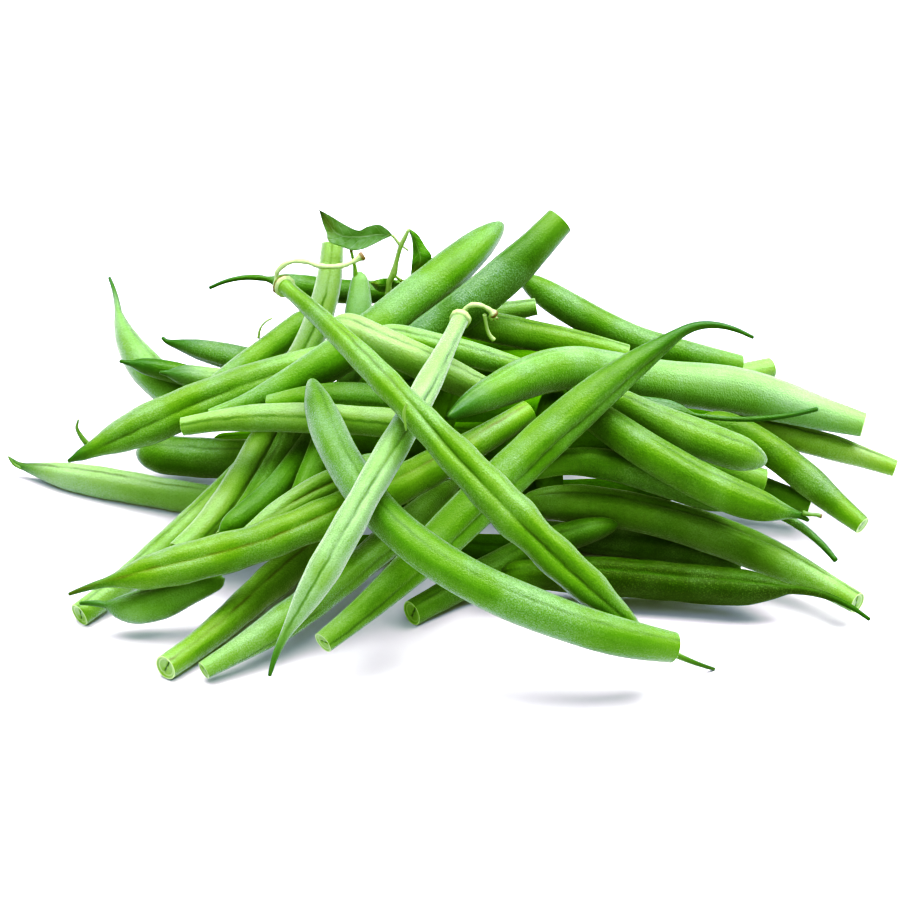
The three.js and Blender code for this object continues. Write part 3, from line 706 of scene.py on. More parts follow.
class Recipe:
    """Adds nodes to a material, one line for each."""

    def __init__(self, name):
        self.material = bpy.data.materials.new(name)
        self.material.use_nodes = True
        self.tree = self.material.node_tree
        self.shader = self.tree.nodes["Principled BSDF"]

    def feed(self, socket, value):
        """Links an output to a socket, or sets the socket to a plain value."""
        if isinstance(value, bpy.types.NodeSocket):
            self.tree.links.new(value, socket)
        else:
            socket.default_value = value

    def node(self, kind, inputs=(), **settings):
        """A new node with its settings and inputs."""
        made = self.tree.nodes.new(kind)
        for key, value in settings.items():
            setattr(made, key, value)
        for key, value in dict(inputs).items():
            self.feed(made.inputs[key], value)
        return made

    def finish(self, **inputs):
        """Feeds inputs of the shader; an underscore in a name stands for a space."""
        for key, value in inputs.items():
            self.feed(self.shader.inputs[key.replace("_", " ")], value)
        return self.material

    def math(self, operation, a, b=0.0):
        """One step of arithmetic."""
        return self.node("ShaderNodeMath", {0: a, 1: b}, operation=operation).outputs[0]

    def times(self, *values):
        """The product of several values."""
        product = values[0]
        for value in values[1:]:
            product = self.math("MULTIPLY", product, value)
        return product

    def between(self, value, low, high, to_low=0.0, to_high=1.0):
        """Smoothly from to_low, where value is low, to to_high, where it is high."""
        inputs = {"Value": value, "From Min": low, "From Max": high, "To Min": to_low, "To Max": to_high}
        made = self.node("ShaderNodeMapRange", inputs, interpolation_type="SMOOTHSTEP")
        return made.outputs["Result"]

    def noise(self, vector, scale, detail=2.0, roughness=0.5):
        """Cloudy noise about 0.5, with scale spots to a unit of the vector."""
        inputs = {"Vector": vector, "Scale": scale, "Detail": detail, "Roughness": roughness}
        return self.node("ShaderNodeTexNoise", inputs).outputs["Fac"]

    def stretched(self, vector, scale):
        """A vector multiplied by another one."""
        return self.node("ShaderNodeVectorMath", {0: vector, 1: scale}, operation="MULTIPLY").outputs[0]

    def in_mm(self):
        """The place on the object in mm."""
        return self.stretched(self.node("ShaderNodeTexCoord").outputs["Object"], TO_MM)

    def kept(self, name):
        """The three numbers kept at the corners, as a vector and one by one."""
        made = self.node("ShaderNodeAttribute", attribute_name=name)
        split = self.node("ShaderNodeSeparateXYZ", {0: made.outputs["Vector"]})
        return made.outputs["Vector"], split.outputs

    def mix(self, share, a, b, how="MIX"):
        """Colour a turned into colour b by share."""
        made = self.node("ShaderNodeMix", data_type="RGBA", blend_type=how)
        for socket, value in zip((0, 6, 7), (share, a, b)):
            self.feed(made.inputs[socket], value)
        return made.outputs[2]

    def raised(self, height, strength, distance, under=None):
        """A relief of height, on top of another one."""
        inputs = {"Height": height, "Strength": strength, "Distance": distance}
        if under is not None:
            inputs["Normal"] = under
        return self.node("ShaderNodeBump", inputs).outputs["Normal"]


print("a recipe can:", [name for name in vars(Recipe) if not name.startswith("_")])

# %% [markdown]
# ## The colour of the skin
# Close up, a bean is not one green. It is mottled at the scale of half a millimetre, with faint
# streaks along the pod and paler, silvery patches where the fuzz is thick, which are also painted
# sheen. Painting this on 59 pods would take days, and an image could not follow their bends. Noise
# read at the place in millimetres keeps its size on every pod, and a single number, the depth of the
# green, is moved by all of the patterns and then turned into a colour between pale, fresh, dark and
# deep, the deepest being painted shade.

# %% The colours of a bean
PALE_SKIN = (0.155, 0.28, 0.075, 1)
FRESH_SKIN = (0.072, 0.18, 0.003, 1)
DARK_SKIN = (0.017, 0.062, 0.001, 1)
# Painted shade: the darkest green, for a pod lying in the shade of others; the patterns also reach it in
# patches on the darkest pods.
PAINTED_SHADE_SKIN = (0.012, 0.026, 0.0005, 1)
YELLOW_CAST = (1.2, 1.02, 0.5, 1)
BLUE_CAST = (0.84, 0.98, 1.3, 1)
# Silvery fuzz; its pale patches on the skin are also painted sheen.
FUZZ_AND_PAINTED_SHEEN = (0.28, 0.43, 0.26, 1)
GRAIN_PALE = (0.17, 0.32, 0.07, 1)
STEM_COLOUR = (0.12, 0.26, 0.02, 1)
BEAK_COLOUR = (0.012, 0.06, 0.008, 1)
# The line in the groove: partly the seam's own green, partly painted shade in the groove.
SEAM_SHADE_GREEN = (0.018, 0.07, 0.001, 1)
SEAM_BROWN = (0.075, 0.055, 0.005, 1)
print("fresh skin reflects", FRESH_SKIN[1], "of the green light")

# %% What the skin's finish reads
# Spots to the millimetre, detail and roughness of each noise.
SPECKLE, MOTTLE, CLOUD = (2.6, 2, 0.6), (0.45, 2, 0.5), (0.09, 1, 0.5)
GRAIN, PORES = (3.2, 2, 0.7), (2.4, 2, 0.6)
ALONG_THE_POD = (0.03, 0.9, 0.9)


def skin_cues(recipe):
    """The kept numbers and the noises that the steps of the skin share, by their names."""
    place = recipe.in_mm()
    space, (_, toward, sideways) = recipe.kept("pod_space")
    _, (tint, warm, bloom) = recipe.kept("pod_look")
    _, (pale_end, dark_end, brown) = recipe.kept("pod_ends")
    cues = dict(place=place, toward=toward, sideways=sideways, tint=tint, warm=warm, bloom=bloom)
    cues.update(pale_end=pale_end, dark_end=dark_end, brown=brown)
    cues.update(speckle=recipe.noise(place, *SPECKLE), mottle=recipe.noise(place, *MOTTLE))
    cues.update(cloud=recipe.noise(place, *CLOUD), grain=recipe.noise(place, *GRAIN))
    cues.update(streak=recipe.noise(recipe.stretched(space, ALONG_THE_POD), 1.0, 2, 0.5))
    return cues


print("speckles are about", round(1 / SPECKLE[0], 2), "mm wide")

# %% The green
PATTERN_SHARES = {"mottle": 0.16, "cloud": 0.4, "streak": 0.2, "speckle": 0.3}
PALE_TO_FRESH, FRESH_TO_DARK, DARK_TO_PAINTED_SHADE = (0.0, 0.5), (0.3, 1.0), (1.0, 1.6)
LIGHT_GRAINS, DARK_GRAINS = (0.5, 0.74, 0.0, 0.22), (0.28, 0.5, 0.28, 0.0)
# Where the pale fuzz patches, which are also painted sheen, show and how strongly.
FUZZ_AND_SHEEN_PATCHES, FUZZ_AND_SHEEN_PATCH_EDGES = (0.075, 1), (0.42, 0.62)
FUZZ_AND_SHEEN_ON_GRAINS, FUZZ_AND_SHEEN_SHARE = (0.36, 0.72, 0.15, 0.75), 0.5
STEM_SHARE, BEAK_SHARE = 0.35, 0.9


def green(recipe, cues, shift):
    """The colour of the skin without its seam."""
    depth = recipe.math("ADD", cues["tint"], shift)
    for pattern, share in PATTERN_SHARES.items():
        swing = recipe.math("SUBTRACT", cues[pattern], 0.5)
        depth = recipe.math("ADD", depth, recipe.times(swing, share))
    colour = recipe.mix(recipe.between(depth, *PALE_TO_FRESH), PALE_SKIN, FRESH_SKIN)
    colour = recipe.mix(recipe.between(depth, *FRESH_TO_DARK), colour, DARK_SKIN)
    # Beyond dark, painted shade.
    colour = recipe.mix(recipe.between(depth, *DARK_TO_PAINTED_SHADE), colour, PAINTED_SHADE_SKIN)
    colour = recipe.mix(recipe.between(cues["grain"], *LIGHT_GRAINS), colour, GRAIN_PALE)
    colour = recipe.mix(recipe.between(cues["grain"], *DARK_GRAINS), colour, DARK_SKIN)
    colour = recipe.mix(1.0, colour, recipe.mix(cues["warm"], BLUE_CAST, YELLOW_CAST), "MULTIPLY")
    # Pale patches of fuzz, partly painted sheen on the skin.
    sheen_patch = recipe.between(recipe.noise(cues["place"], *FUZZ_AND_SHEEN_PATCHES), *FUZZ_AND_SHEEN_PATCH_EDGES)
    hair_sheen = recipe.between(cues["grain"], *FUZZ_AND_SHEEN_ON_GRAINS)
    colour = recipe.mix(recipe.times(sheen_patch, cues["bloom"], hair_sheen, FUZZ_AND_SHEEN_SHARE), colour, FUZZ_AND_PAINTED_SHEEN)
    colour = recipe.mix(recipe.times(cues["pale_end"], STEM_SHARE), colour, STEM_COLOUR)
    return recipe.mix(recipe.times(cues["dark_end"], BEAK_SHARE), colour, BEAK_COLOUR)


print("patterns in the green:", list(PATTERN_SHARES))

# %% [markdown]
# ## The line in the seam
# A darker thread runs in the groove: partly the seam's own colour, brown on a pod that has lain for
# some days, and partly painted shade in the groove. A pale one runs along the back. It could be a
# thin mesh of its own, but it lies in the skin, not on it. The finish draws it where the kept
# distance from the seam is small, and lets it wander and fade by noise.

# %% The seam lines
WANDER_NOISE, WANDER = (0.3, 1), 0.8
DRAWN_NOISE, DRAWN_RANGE = (0.12, 1), (0.35, 0.6, 0.25, 0.7)
SEAM_LINE_AND_SHADE, BACK_LINE = (0.05, 0.6, 1.0, 0.0), (0.1, 0.5, 1.0, 0.0)
FRONT_HALF, BACK_HALF = (0.0, 0.4), (-0.4, 0.0, 1.0, 0.0)
BACK_LINE_SHARE = 0.35


def with_seam_lines(recipe, cues, colour):
    """The colour of the skin with the line in its groove, partly painted shade, and the pale one opposite.
    """
    swing = recipe.math("SUBTRACT", recipe.noise(cues["place"], *WANDER_NOISE), 0.5)
    off_seam = recipe.math("ABSOLUTE", recipe.math("ADD", cues["sideways"], recipe.times(swing, WANDER)))
    drawn = recipe.between(recipe.noise(cues["place"], *DRAWN_NOISE), *DRAWN_RANGE)
    front_half = recipe.between(cues["toward"], *FRONT_HALF)
    line = recipe.times(recipe.between(off_seam, *SEAM_LINE_AND_SHADE), front_half, drawn)
    # The dark line in the groove is partly the seam's own colour and partly painted shade.
    colour = recipe.mix(line, colour, recipe.mix(cues["brown"], SEAM_SHADE_GREEN, SEAM_BROWN))
    back_half = recipe.between(cues["toward"], *BACK_HALF)
    back_line = recipe.times(recipe.between(off_seam, *BACK_LINE), back_half, BACK_LINE_SHARE)
    return recipe.mix(back_line, colour, PALE_SKIN)


print("the seam line fades out", SEAM_LINE_AND_SHADE[1], "mm from the seam")

# %% [markdown]
# ## The surface of the skin
# A fresh bean is satin, not shiny. Fine hairs scatter the light, so that flanks turned away look
# pale, pores break up the gloss, and a little light passes through the skin. Thousands of modelled
# hairs would do the same at a hundred times the cost. A sheen stands for them here. It and the
# gloss fade just at the outline, where they would otherwise draw a white edge.

# %% Pores, gloss and sheen
ROUGHNESS = (0.3, 0.7, 0.36, 0.44)
STREAK_RELIEF, PORE_RELIEF = (0.3, 0.0003), (0.8, 0.0002)
AWAY_FROM_OUTLINE = (0.72, 0.97, 1.0, 0.15)
GLOSS_BY_BLOOM = (0.0, 0.5, 0.0, 0.34)
HAIRS_ON_GRAINS, HAIRS_BY_TINT = (0.35, 0.7, 0.4, 2.2), (0.2, 0.9, 0.9, 0.1)
BARE_BEAK = (0.0, 1.0, 1.0, 0.2)
GLOSS_TINT, SHEEN_TINT = (0.75, 1.0, 0.6, 1), (0.95, 1.0, 0.97, 1)
SHEEN_ROUGHNESS = 0.4
SKIN_DEPTH, SKIN_DEPTHS = 0.0025, (0.5, 1.0, 0.15)
SEE_THROUGH = 0.12


def satin(recipe, cues):
    """Relief, gloss, hairs and depth of the skin."""
    relief = recipe.raised(cues["streak"], *STREAK_RELIEF)
    relief = recipe.raised(recipe.noise(cues["place"], *PORES), *PORE_RELIEF, relief)
    facing = recipe.node("ShaderNodeLayerWeight", {"Blend": 0.5}).outputs["Facing"]
    inner = recipe.between(facing, *AWAY_FROM_OUTLINE)
    gloss = recipe.times(recipe.between(cues["bloom"], *GLOSS_BY_BLOOM), inner)
    hair_sheen = recipe.times(cues["bloom"], recipe.between(cues["grain"], *HAIRS_ON_GRAINS))
    hair_sheen = recipe.times(hair_sheen, recipe.between(cues["tint"], *HAIRS_BY_TINT), inner)
    hair_sheen = recipe.times(hair_sheen, recipe.between(cues["dark_end"], *BARE_BEAK))
    recipe.finish(Normal=relief, Roughness=recipe.between(cues["mottle"], *ROUGHNESS))
    recipe.finish(Specular_IOR_Level=gloss, Specular_Tint=GLOSS_TINT)
    recipe.finish(Sheen_Weight=hair_sheen, Sheen_Roughness=SHEEN_ROUGHNESS, Sheen_Tint=SHEEN_TINT)
    recipe.finish(Subsurface_Weight=SEE_THROUGH, Subsurface_Radius=SKIN_DEPTHS, Subsurface_Scale=SKIN_DEPTH)


print("green light goes", SKIN_DEPTH * SKIN_DEPTHS[1] / MM, "mm into the skin")

# %% Three skins
def skin_finish(name, shift):
    """The skin of a pod. shift makes this slot's pods darker or paler."""
    recipe = Recipe(name)
    cues = skin_cues(recipe)
    satin(recipe, cues)
    return recipe.finish(Base_Color=with_seam_lines(recipe, cues, green(recipe, cues, shift)))


SKINS = {
    "pod_green": skin_finish("fresh_skin", 0.0),
    "pod_pale": skin_finish("pale_skin", -0.05),
    "pod_dark": skin_finish("dark_skin", 0.05),
}
print("skins:", [m.name for m in SKINS.values()])

# %% [markdown]
# ## The finish of the cut face
# A freshly cut pod shows wet green flesh inside a pale rim, a thin ring of vessels and the slit
# where the halves part, painted dark as shade in the gap. Rings of faces in four colours would look
# like a target. The finish reads how far out each point lies, a number that the cut face kept, and
# blends one into the next.

# %% The cut face
FLESH = (0.24, 0.42, 0.06, 1)
WET_FLESH = (0.09, 0.24, 0.012, 1)
RIM = (0.42, 0.6, 0.2, 1)
# Painted shade in the gap of the slit between the halves.
SLIT_SHADE = (0.04, 0.09, 0.01, 1)
FLESH_NOISE, FLESH_RELIEF = (3.0, 3, 0.6), (0.4, 0.0002)
VESSELS_FROM, VESSELS_TO, VESSELS_SHARE = (0.62, 0.7), (0.72, 0.82, 1.0, 0.0), 0.5
RIM_FROM = (0.86, 0.93)
SLIT_SHADE_EDGES, SLIT_SHADE_END = (0.03, 0.12, 1.0, 0.0), (0.55, 0.65, 1.0, 0.0)
WET_ROUGHNESS = 0.3


def cut_finish():
    """The cut end of a pod: a pale rim, wet green flesh, a ring of vessels and a slit painted dark as
    shade.
    """
    recipe = Recipe("cut_face")
    _, (out, _, sideways) = recipe.kept("pod_space")
    grain = recipe.noise(recipe.in_mm(), *FLESH_NOISE)
    colour = recipe.mix(grain, WET_FLESH, FLESH)
    vessels = recipe.times(recipe.between(out, *VESSELS_FROM), recipe.between(out, *VESSELS_TO))
    colour = recipe.mix(recipe.times(vessels, VESSELS_SHARE), colour, RIM)
    colour = recipe.mix(recipe.between(out, *RIM_FROM), colour, RIM)
    # The slit is painted dark: painted shade in the gap between the halves.
    slit_shade = recipe.between(recipe.math("ABSOLUTE", sideways), *SLIT_SHADE_EDGES)
    colour = recipe.mix(recipe.times(slit_shade, recipe.between(out, *SLIT_SHADE_END)), colour, SLIT_SHADE)
    relief = recipe.raised(grain, *FLESH_RELIEF)
    return recipe.finish(Base_Color=colour, Roughness=WET_ROUGHNESS, Normal=relief)


CUT_FACE = cut_finish()
print("finish of the cut:", CUT_FACE.name)

# %% [markdown]
# ## Making every pod
# One loop makes all the pods. Copies of a few models would be quicker to draw, but every bean here
# has its own bend. Each pod rides on the heap's single body, stands for its own solid and takes the
# slot that the record gives that solid.

# %% All pods
slot_of = {part["node"]: part["material_slot"] for part in frame["record"]["subparts"]}
chance = random.Random(29)
triangles = 0
for node in sorted(pods):
    piece = pod_piece(node, chance)
    piece.data.materials.append(SKINS[slot_of[node]])
    piece.data.materials.append(CUT_FACE)
    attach(piece, "root")
    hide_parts(node)
    triangles += sum(len(face.vertices) - 2 for face in piece.data.polygons)
print("pods made:", len(pods), "triangles:", triangles)

# %% [markdown]
# ## Thin things in front of the camera
# Stalks, threads and leaves are too thin for the plain solids to say much about them, so their
# places are given one by one. Typing points in space and looking again and again would do, but it is
# quicker to say where a point is seen and how deep it lies, and to let a small function find it in space.

# %% Points placed by where they are seen
SIGHT = np.array(camera.location) / MM
SIGHT_AIM = np.array(AIM) / MM
SIGHT_UP = np.array((0, math.sin(CAMERA_HEIGHT_ANGLE), math.cos(CAMERA_HEIGHT_ANGLE)))


def seen(across, up, depth):
    """The point at y = depth that is seen across and up from the aim of the camera, all in mm."""
    across, up, depth = np.broadcast_arrays(across, up, depth)
    ray = SIGHT_AIM + across[..., None] * np.array((1, 0, 0)) + up[..., None] * SIGHT_UP - SIGHT
    return SIGHT + ray * ((depth - SIGHT[1]) / ray[..., 1])[..., None]


def seen_path(places, depth):
    """Points at one depth from a list of (across, up) places."""
    across, up = np.array(places, float).T
    return seen(across, up, depth)


print("the aim seen at its own depth:", seen(0, 0, SIGHT_AIM[1]).round(2))

# %% [markdown]
# ## A round stalk
# A stalk is a thin round rod whose thickness changes along it. A Bezier curve with a bevel makes
# such a rod quickly, but its corners cannot keep the numbers that the finish needs. So a ring of
# corners is carried along a smooth path, as for the pods, and both ends are closed with a point.

# %% A round stalk
STALK_SIDES = 12
OFF_AXIS = (0.31, 0.87, 0.39)


def tube(points, girths):
    """Vertices and faces of a closed round tube, all in mm."""
    ahead = unit(np.gradient(points, axis=0))
    side = unit(np.cross(ahead, OFF_AXIS))
    lift = np.cross(ahead, side)
    turn = np.linspace(0, 2 * np.pi, STALK_SIDES, endpoint=False)[None, :, None]
    outward = np.cos(turn) * side[:, None] + np.sin(turn) * lift[:, None]
    skin = points[:, None] + outward * girths[:, None, None]
    vertices = np.concatenate([skin.reshape(-1, 3), points[:1], points[-1:]])
    rows = len(points)
    faces = ring_faces(rows, STALK_SIDES)
    last = (rows - 1) * STALK_SIDES
    for k in range(STALK_SIDES):
        n = (k + 1) % STALK_SIDES
        faces.append((n, k, rows * STALK_SIDES))
        faces.append((last + k, last + n, rows * STALK_SIDES + 1))
    return vertices, faces


def smooth_path(points, count):
    """A smooth path with count points through the given ones."""
    points = np.array(points, float)
    knots = distances(points)
    return through(knots, points, np.linspace(0, knots[-1], count))


def stalk_part(path, girth, green, dry, deep):
    """A tube with its marks: how green, how dry and how deep in colour it is at each point."""
    marks = np.stack(np.broadcast_arrays(green, dry, deep), -1)
    marks = np.concatenate([np.repeat(marks, STALK_SIDES, 0), marks[:1], marks[-1:]])
    return (*tube(path, girth), marks, 0)


print("a stalk has", STALK_SIDES, "sides")

# %% Parts joined into one piece
def joined(name, parts, materials):
    """One mesh object from (vertices, faces, marks, material number) parts."""
    vertices, faces, marks, numbers = [], [], [], []
    first = 0
    for points, part_faces, part_marks, number in parts:
        vertices.append(points)
        marks.append(part_marks)
        faces += [tuple(first + v for v in face) for face in part_faces]
        numbers += [number] * len(part_faces)
        first += len(points)
    mesh = bpy.data.meshes.new(name)
    mesh.from_pydata((np.concatenate(vertices) * MM).tolist(), [], faces)
    keep(mesh, "mark", np.concatenate(marks))
    mesh.shade_smooth()
    mesh.polygons.foreach_set("material_index", numbers)
    for material in materials:
        mesh.materials.append(material)
    piece = bpy.data.objects.new(name, mesh)
    bpy.context.scene.collection.objects.link(piece)
    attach(piece, "root")
    return piece


print("pieces that ride so far:", len(pods))

# %% [markdown]
# ## The finish of stalks
# Stalks are cream to pale green, a little rough, and brown and dry where they broke off. One
# material could be made for each state. It is simpler to keep three marks at every corner, green,
# dry and deep, and to let one finish mix its colours by them, so that a stalk can change on its way.

# %% The finish of stalks
STALK_PALE = (0.34, 0.46, 0.17, 1)
STALK_GREEN = (0.17, 0.30, 0.06, 1)
BARK_BROWN = (0.13, 0.09, 0.035, 1)
BARK_NOISE, BARK_RELIEF = (1.6, 3, 0.6), (0.6, 0.0003)
GREEN_SPOTS, SCAR_EDGES = (0.35, 0.75, 0.0, 0.35), (0.55, 0.95)
BARK_ROUGHNESS = (0.0, 1.0, 0.45, 0.8)
DULL_GLOSS = 0.3


def stalk_finish():
    """Stalks: pale green to cream, dry and brown where the mark says so."""
    recipe = Recipe("stalk_skin")
    _, (green_mark, dry, deep) = recipe.kept("mark")
    grain = recipe.noise(recipe.in_mm(), *BARK_NOISE)
    colour = recipe.mix(green_mark, STALK_PALE, STALK_GREEN)
    colour = recipe.mix(recipe.between(grain, *GREEN_SPOTS), colour, STALK_GREEN)
    colour = recipe.mix(deep, colour, BEAK_COLOUR)
    scars = recipe.between(recipe.math("ADD", dry, recipe.times(grain, 0.5)), *SCAR_EDGES)
    colour = recipe.mix(scars, colour, BARK_BROWN)
    relief = recipe.raised(grain, *BARK_RELIEF)
    recipe.finish(Base_Color=colour, Roughness=recipe.between(scars, *BARK_ROUGHNESS))
    return recipe.finish(Normal=relief, Specular_IOR_Level=DULL_GLOSS)


STALK_SKIN = stalk_finish()
print("finish of stalks:", STALK_SKIN.name)

# %% [markdown]
# ## The stalks of two pods
# Two pods on top still carry the thin stalk they hung from. It ends in a small brown knob where it
# broke from the plant, and widens into the calyx, the little cap that holds the pod. The calyx
# could be modelled apart, but it grows out of the stalk, so it is the same tube, flared until it
# laps over the pod. The stalk follows the thin part of its solid.

# %% A stalk with its calyx
STALK_STEPS = 44
STALK_GIRTH = 0.62
STALK_WAVES = ((0.1, 1.3), (0.06, 3.1))
KNOB_GIRTH, KNOB_PLACE, KNOB_LENGTH = 0.5, 0.5, 0.8
KNOB_DRY_LENGTH = 1.0
CALYX_REACH, CALYX_OVERLAP, CALYX_WIDTH, CALYX_CURVE = 1.8, 2.1, 1.26, 1.3
SCAR_PLACE, SCAR_LENGTH = 0.6, 0.8
STALK_TINT = 0.1


def calyx_stalk(node, rim_dry):
    """The stalk and calyx of a pod, from the thin part of its solid, and the path it takes."""
    centres, radii = pods[node]
    body = body_start(radii)
    ahead = unit(centres[body + 1] - centres[body])
    path = smooth_path([*centres[: body + 1], centres[body] + ahead * CALYX_OVERLAP], STALK_STEPS)
    at = np.linspace(0, 1, STALK_STEPS) * distances(path)[-1]
    wobble = 1 + sum(height * np.sin(at * pitch) for height, pitch in STALK_WAVES)
    girth = STALK_GIRTH * wobble + KNOB_GIRTH * bump(at - KNOB_PLACE, KNOB_LENGTH)
    cap = at[-1] - CALYX_OVERLAP
    flare = smooth_steps(at, cap - CALYX_REACH, cap)
    girth = girth + (radii[body] * CALYX_WIDTH - girth) * flare**CALYX_CURVE
    scar = bump(at - at[-1] + SCAR_PLACE * CALYX_OVERLAP, SCAR_LENGTH)
    dry = np.maximum(bump(at, KNOB_DRY_LENGTH), rim_dry * scar)
    return stalk_part(path, girth, STALK_TINT * (1 + flare), dry, 0.0), path


diagonal_part, diagonal_path = calyx_stalk("bean_top_diagonal", 1.2)
diagonal_stalk = joined("stalk_of_top_diagonal", [diagonal_part], [STALK_SKIN])
print("stalk of top_diagonal:", round(distances(diagonal_path)[-1], 1), "mm long")

# %% A twig
TWIG_STEPS = 24
DRY_FROM = 0.8


def twig(points, girths, green_mark=0.3, dry_end=0.0, deep=0.0, count=TWIG_STEPS):
    """A thin stalk through points, its thickness going through girths from end to end."""
    path = smooth_path(points, count)
    share = np.linspace(0, 1, count)
    girth = np.interp(share, np.linspace(0, 1, len(girths)), girths)
    return stalk_part(path, girth, green_mark, dry_end * smooth_steps(share, DRY_FROM, 1), deep)


print("corners of a twig:", len(twig([(0, 0, 0), (0, 0, 1)], [1, 1])[0]))

# %% The stalk with a side stalk
# Places across and up, in mm from the aim of the camera.
SIDE_STALK = [(8.6, 33.9), (9.0, 31.8), (9.5, 29.6), (10.2, 28.3), (11.0, 27.5)]
SIDE_GIRTHS = [0.5, 0.42, 0.42, 0.5, 0.62]
FORK = (10.0, 33.4)
# Scars of lost flowers: where each ends, and how thick it is.
SCARS = (((10.4, 33.6), 0.55), ((11.4, 33.9), 0.7), ((12.0, 32.9), 0.6), ((11.0, 32.5), 0.65))
SCAR_ROOT_GIRTH, SCAR_STEPS = 0.4, 10
NEARER_STALK, NEARER_SCAR = 0.3, 0.6

pale_part, pale_path = calyx_stalk("bean_top_pale", 0.35)
end_depth = pale_path[0][1]
parts = [pale_part, twig(seen_path(SIDE_STALK, end_depth - NEARER_STALK), SIDE_GIRTHS)]
for place, girth in SCARS:
    start = seen_path([FORK], end_depth)[0]
    finish = seen_path([place], end_depth - NEARER_SCAR)[0]
    girths = [SCAR_ROOT_GIRTH, girth, girth * 0.5]
    parts.append(twig([start, (start + finish) / 2, finish], girths, 0.6, 0.9, count=SCAR_STEPS))
pale_stalk = joined("stalk_of_top_pale", parts, [STALK_SKIN])
print("stalk of top_pale:", round(distances(pale_path)[-1], 1), "mm long, scars:", len(SCARS))

# %% [markdown]
# ## Small dry threads
# Here and there a dry scrap of flower or a curl of tendril clings to a pod. They are easy to leave
# out, yet they make the heap look picked rather than manufactured. Each is a twig of its own, laid
# at the depth where it touches its pod.

# %% Threads
DEEP_GREEN = 0.5


def thread(name, depth, places, girths, green_mark=1.0, dry_end=0.0, deep=0.0):
    """A loose strand through places seen from the camera, all at one depth."""
    strand = twig(seen_path(places, depth), girths, green_mark, dry_end, deep)
    piece = joined(name, [strand], [STALK_SKIN])
    print(name, "has", len(piece.data.vertices), "corners")


tip_places = [(88.2, -15.7), (90.0, -16.1), (91.6, -16.2), (92.9, -16.6)]
thread("tip_thread_of_right_upper", -25.4, tip_places, [0.65, 0.45, 0.55], dry_end=1.0, deep=DEEP_GREEN)
whisker_places = [(-104.5, -5.0), (-107, -4.6), (-109.2, -3.4), (-110.4, -1.6)]
thread("whisker_of_left_flat", 30.8, whisker_places, [0.5, 0.42, 0.3], deep=DEEP_GREEN)
hook_places = [(-88, -1.0), (-90.2, 1.0), (-92.2, 3.4), (-93.3, 5.6), (-92.9, 7.6)]
thread("hook_behind_left", 9.5, hook_places, [0.9, 0.7, 0.25], deep=DEEP_GREEN)
tendril_places = [(-47.9, 28.0), (-47.4, 30.4), (-46.2, 32.0), (-44.4, 33.0)]
thread("tendril_at_back", 32.6, tendril_places, [0.4, 0.3, 0.25], 0.4, 0.2)
remnant_places = [(-10.7, 11.8), (-11.5, 9.5), (-11.2, 6.6), (-10.9, 4.9)]
thread("remnant_between_pods", -44.1, remnant_places, [0.2, 0.42, 0.36, 0.2], dry_end=0.2)
stub_places = [(-23.6, 43.6), (-23.9, 46.4), (-24.4, 48.4), (-24.8, 50.2)]
thread("stalk_of_back_stalked", 36.6, stub_places, [0.7, 0.4, 0.4], dry_end=0.9)

# %% [markdown]
# ## A leaf blade
# A leaf is a thin blade on both sides of a midrib. A flat outline with a printed leaf on it would be
# the usual short cut, but it stays flat. Here the blade is spread between its two edges and its
# midrib, arched a little, rippled towards the edges, and closed round its rim to a thin solid. The
# faces of a leaf that is drawn to the left are turned over, so that all of them look outward.

# %% A leaf blade
BLADE_STEPS = 48
BLADE_HALF = 7
BLADE_THICK = 0.24
ARCH_CURVE = 1.3
RIPPLE_HEIGHT, RIPPLE_PITCH, RIPPLE_LEAN = 0.25, 19, 1.5
SWAY_HEIGHT, SWAY_PITCH = 0.5, 7


def blade_faces(columns):
    """Faces of a blade of two sheets of BLADE_STEPS rows, joined round the rim."""
    count = BLADE_STEPS * columns
    faces = []
    for i in range(BLADE_STEPS - 1):
        for k in range(columns - 1):
            a, b = i * columns + k, (i + 1) * columns + k
            faces.append((a, b, b + 1, a + 1))
            faces.append((count + a, count + a + 1, count + b + 1, count + b))
        for k, way in ((0, 1), (columns - 1, -1)):
            a, b = i * columns + k, (i + 1) * columns + k
            faces.append((a, count + a, count + b, b)[::way])
    for i, way in ((0, 1), (BLADE_STEPS - 1, -1)):
        for k in range(columns - 1):
            a = i * columns + k
            faces.append((a, a + 1, count + a + 1, count + a)[::way])
    return faces


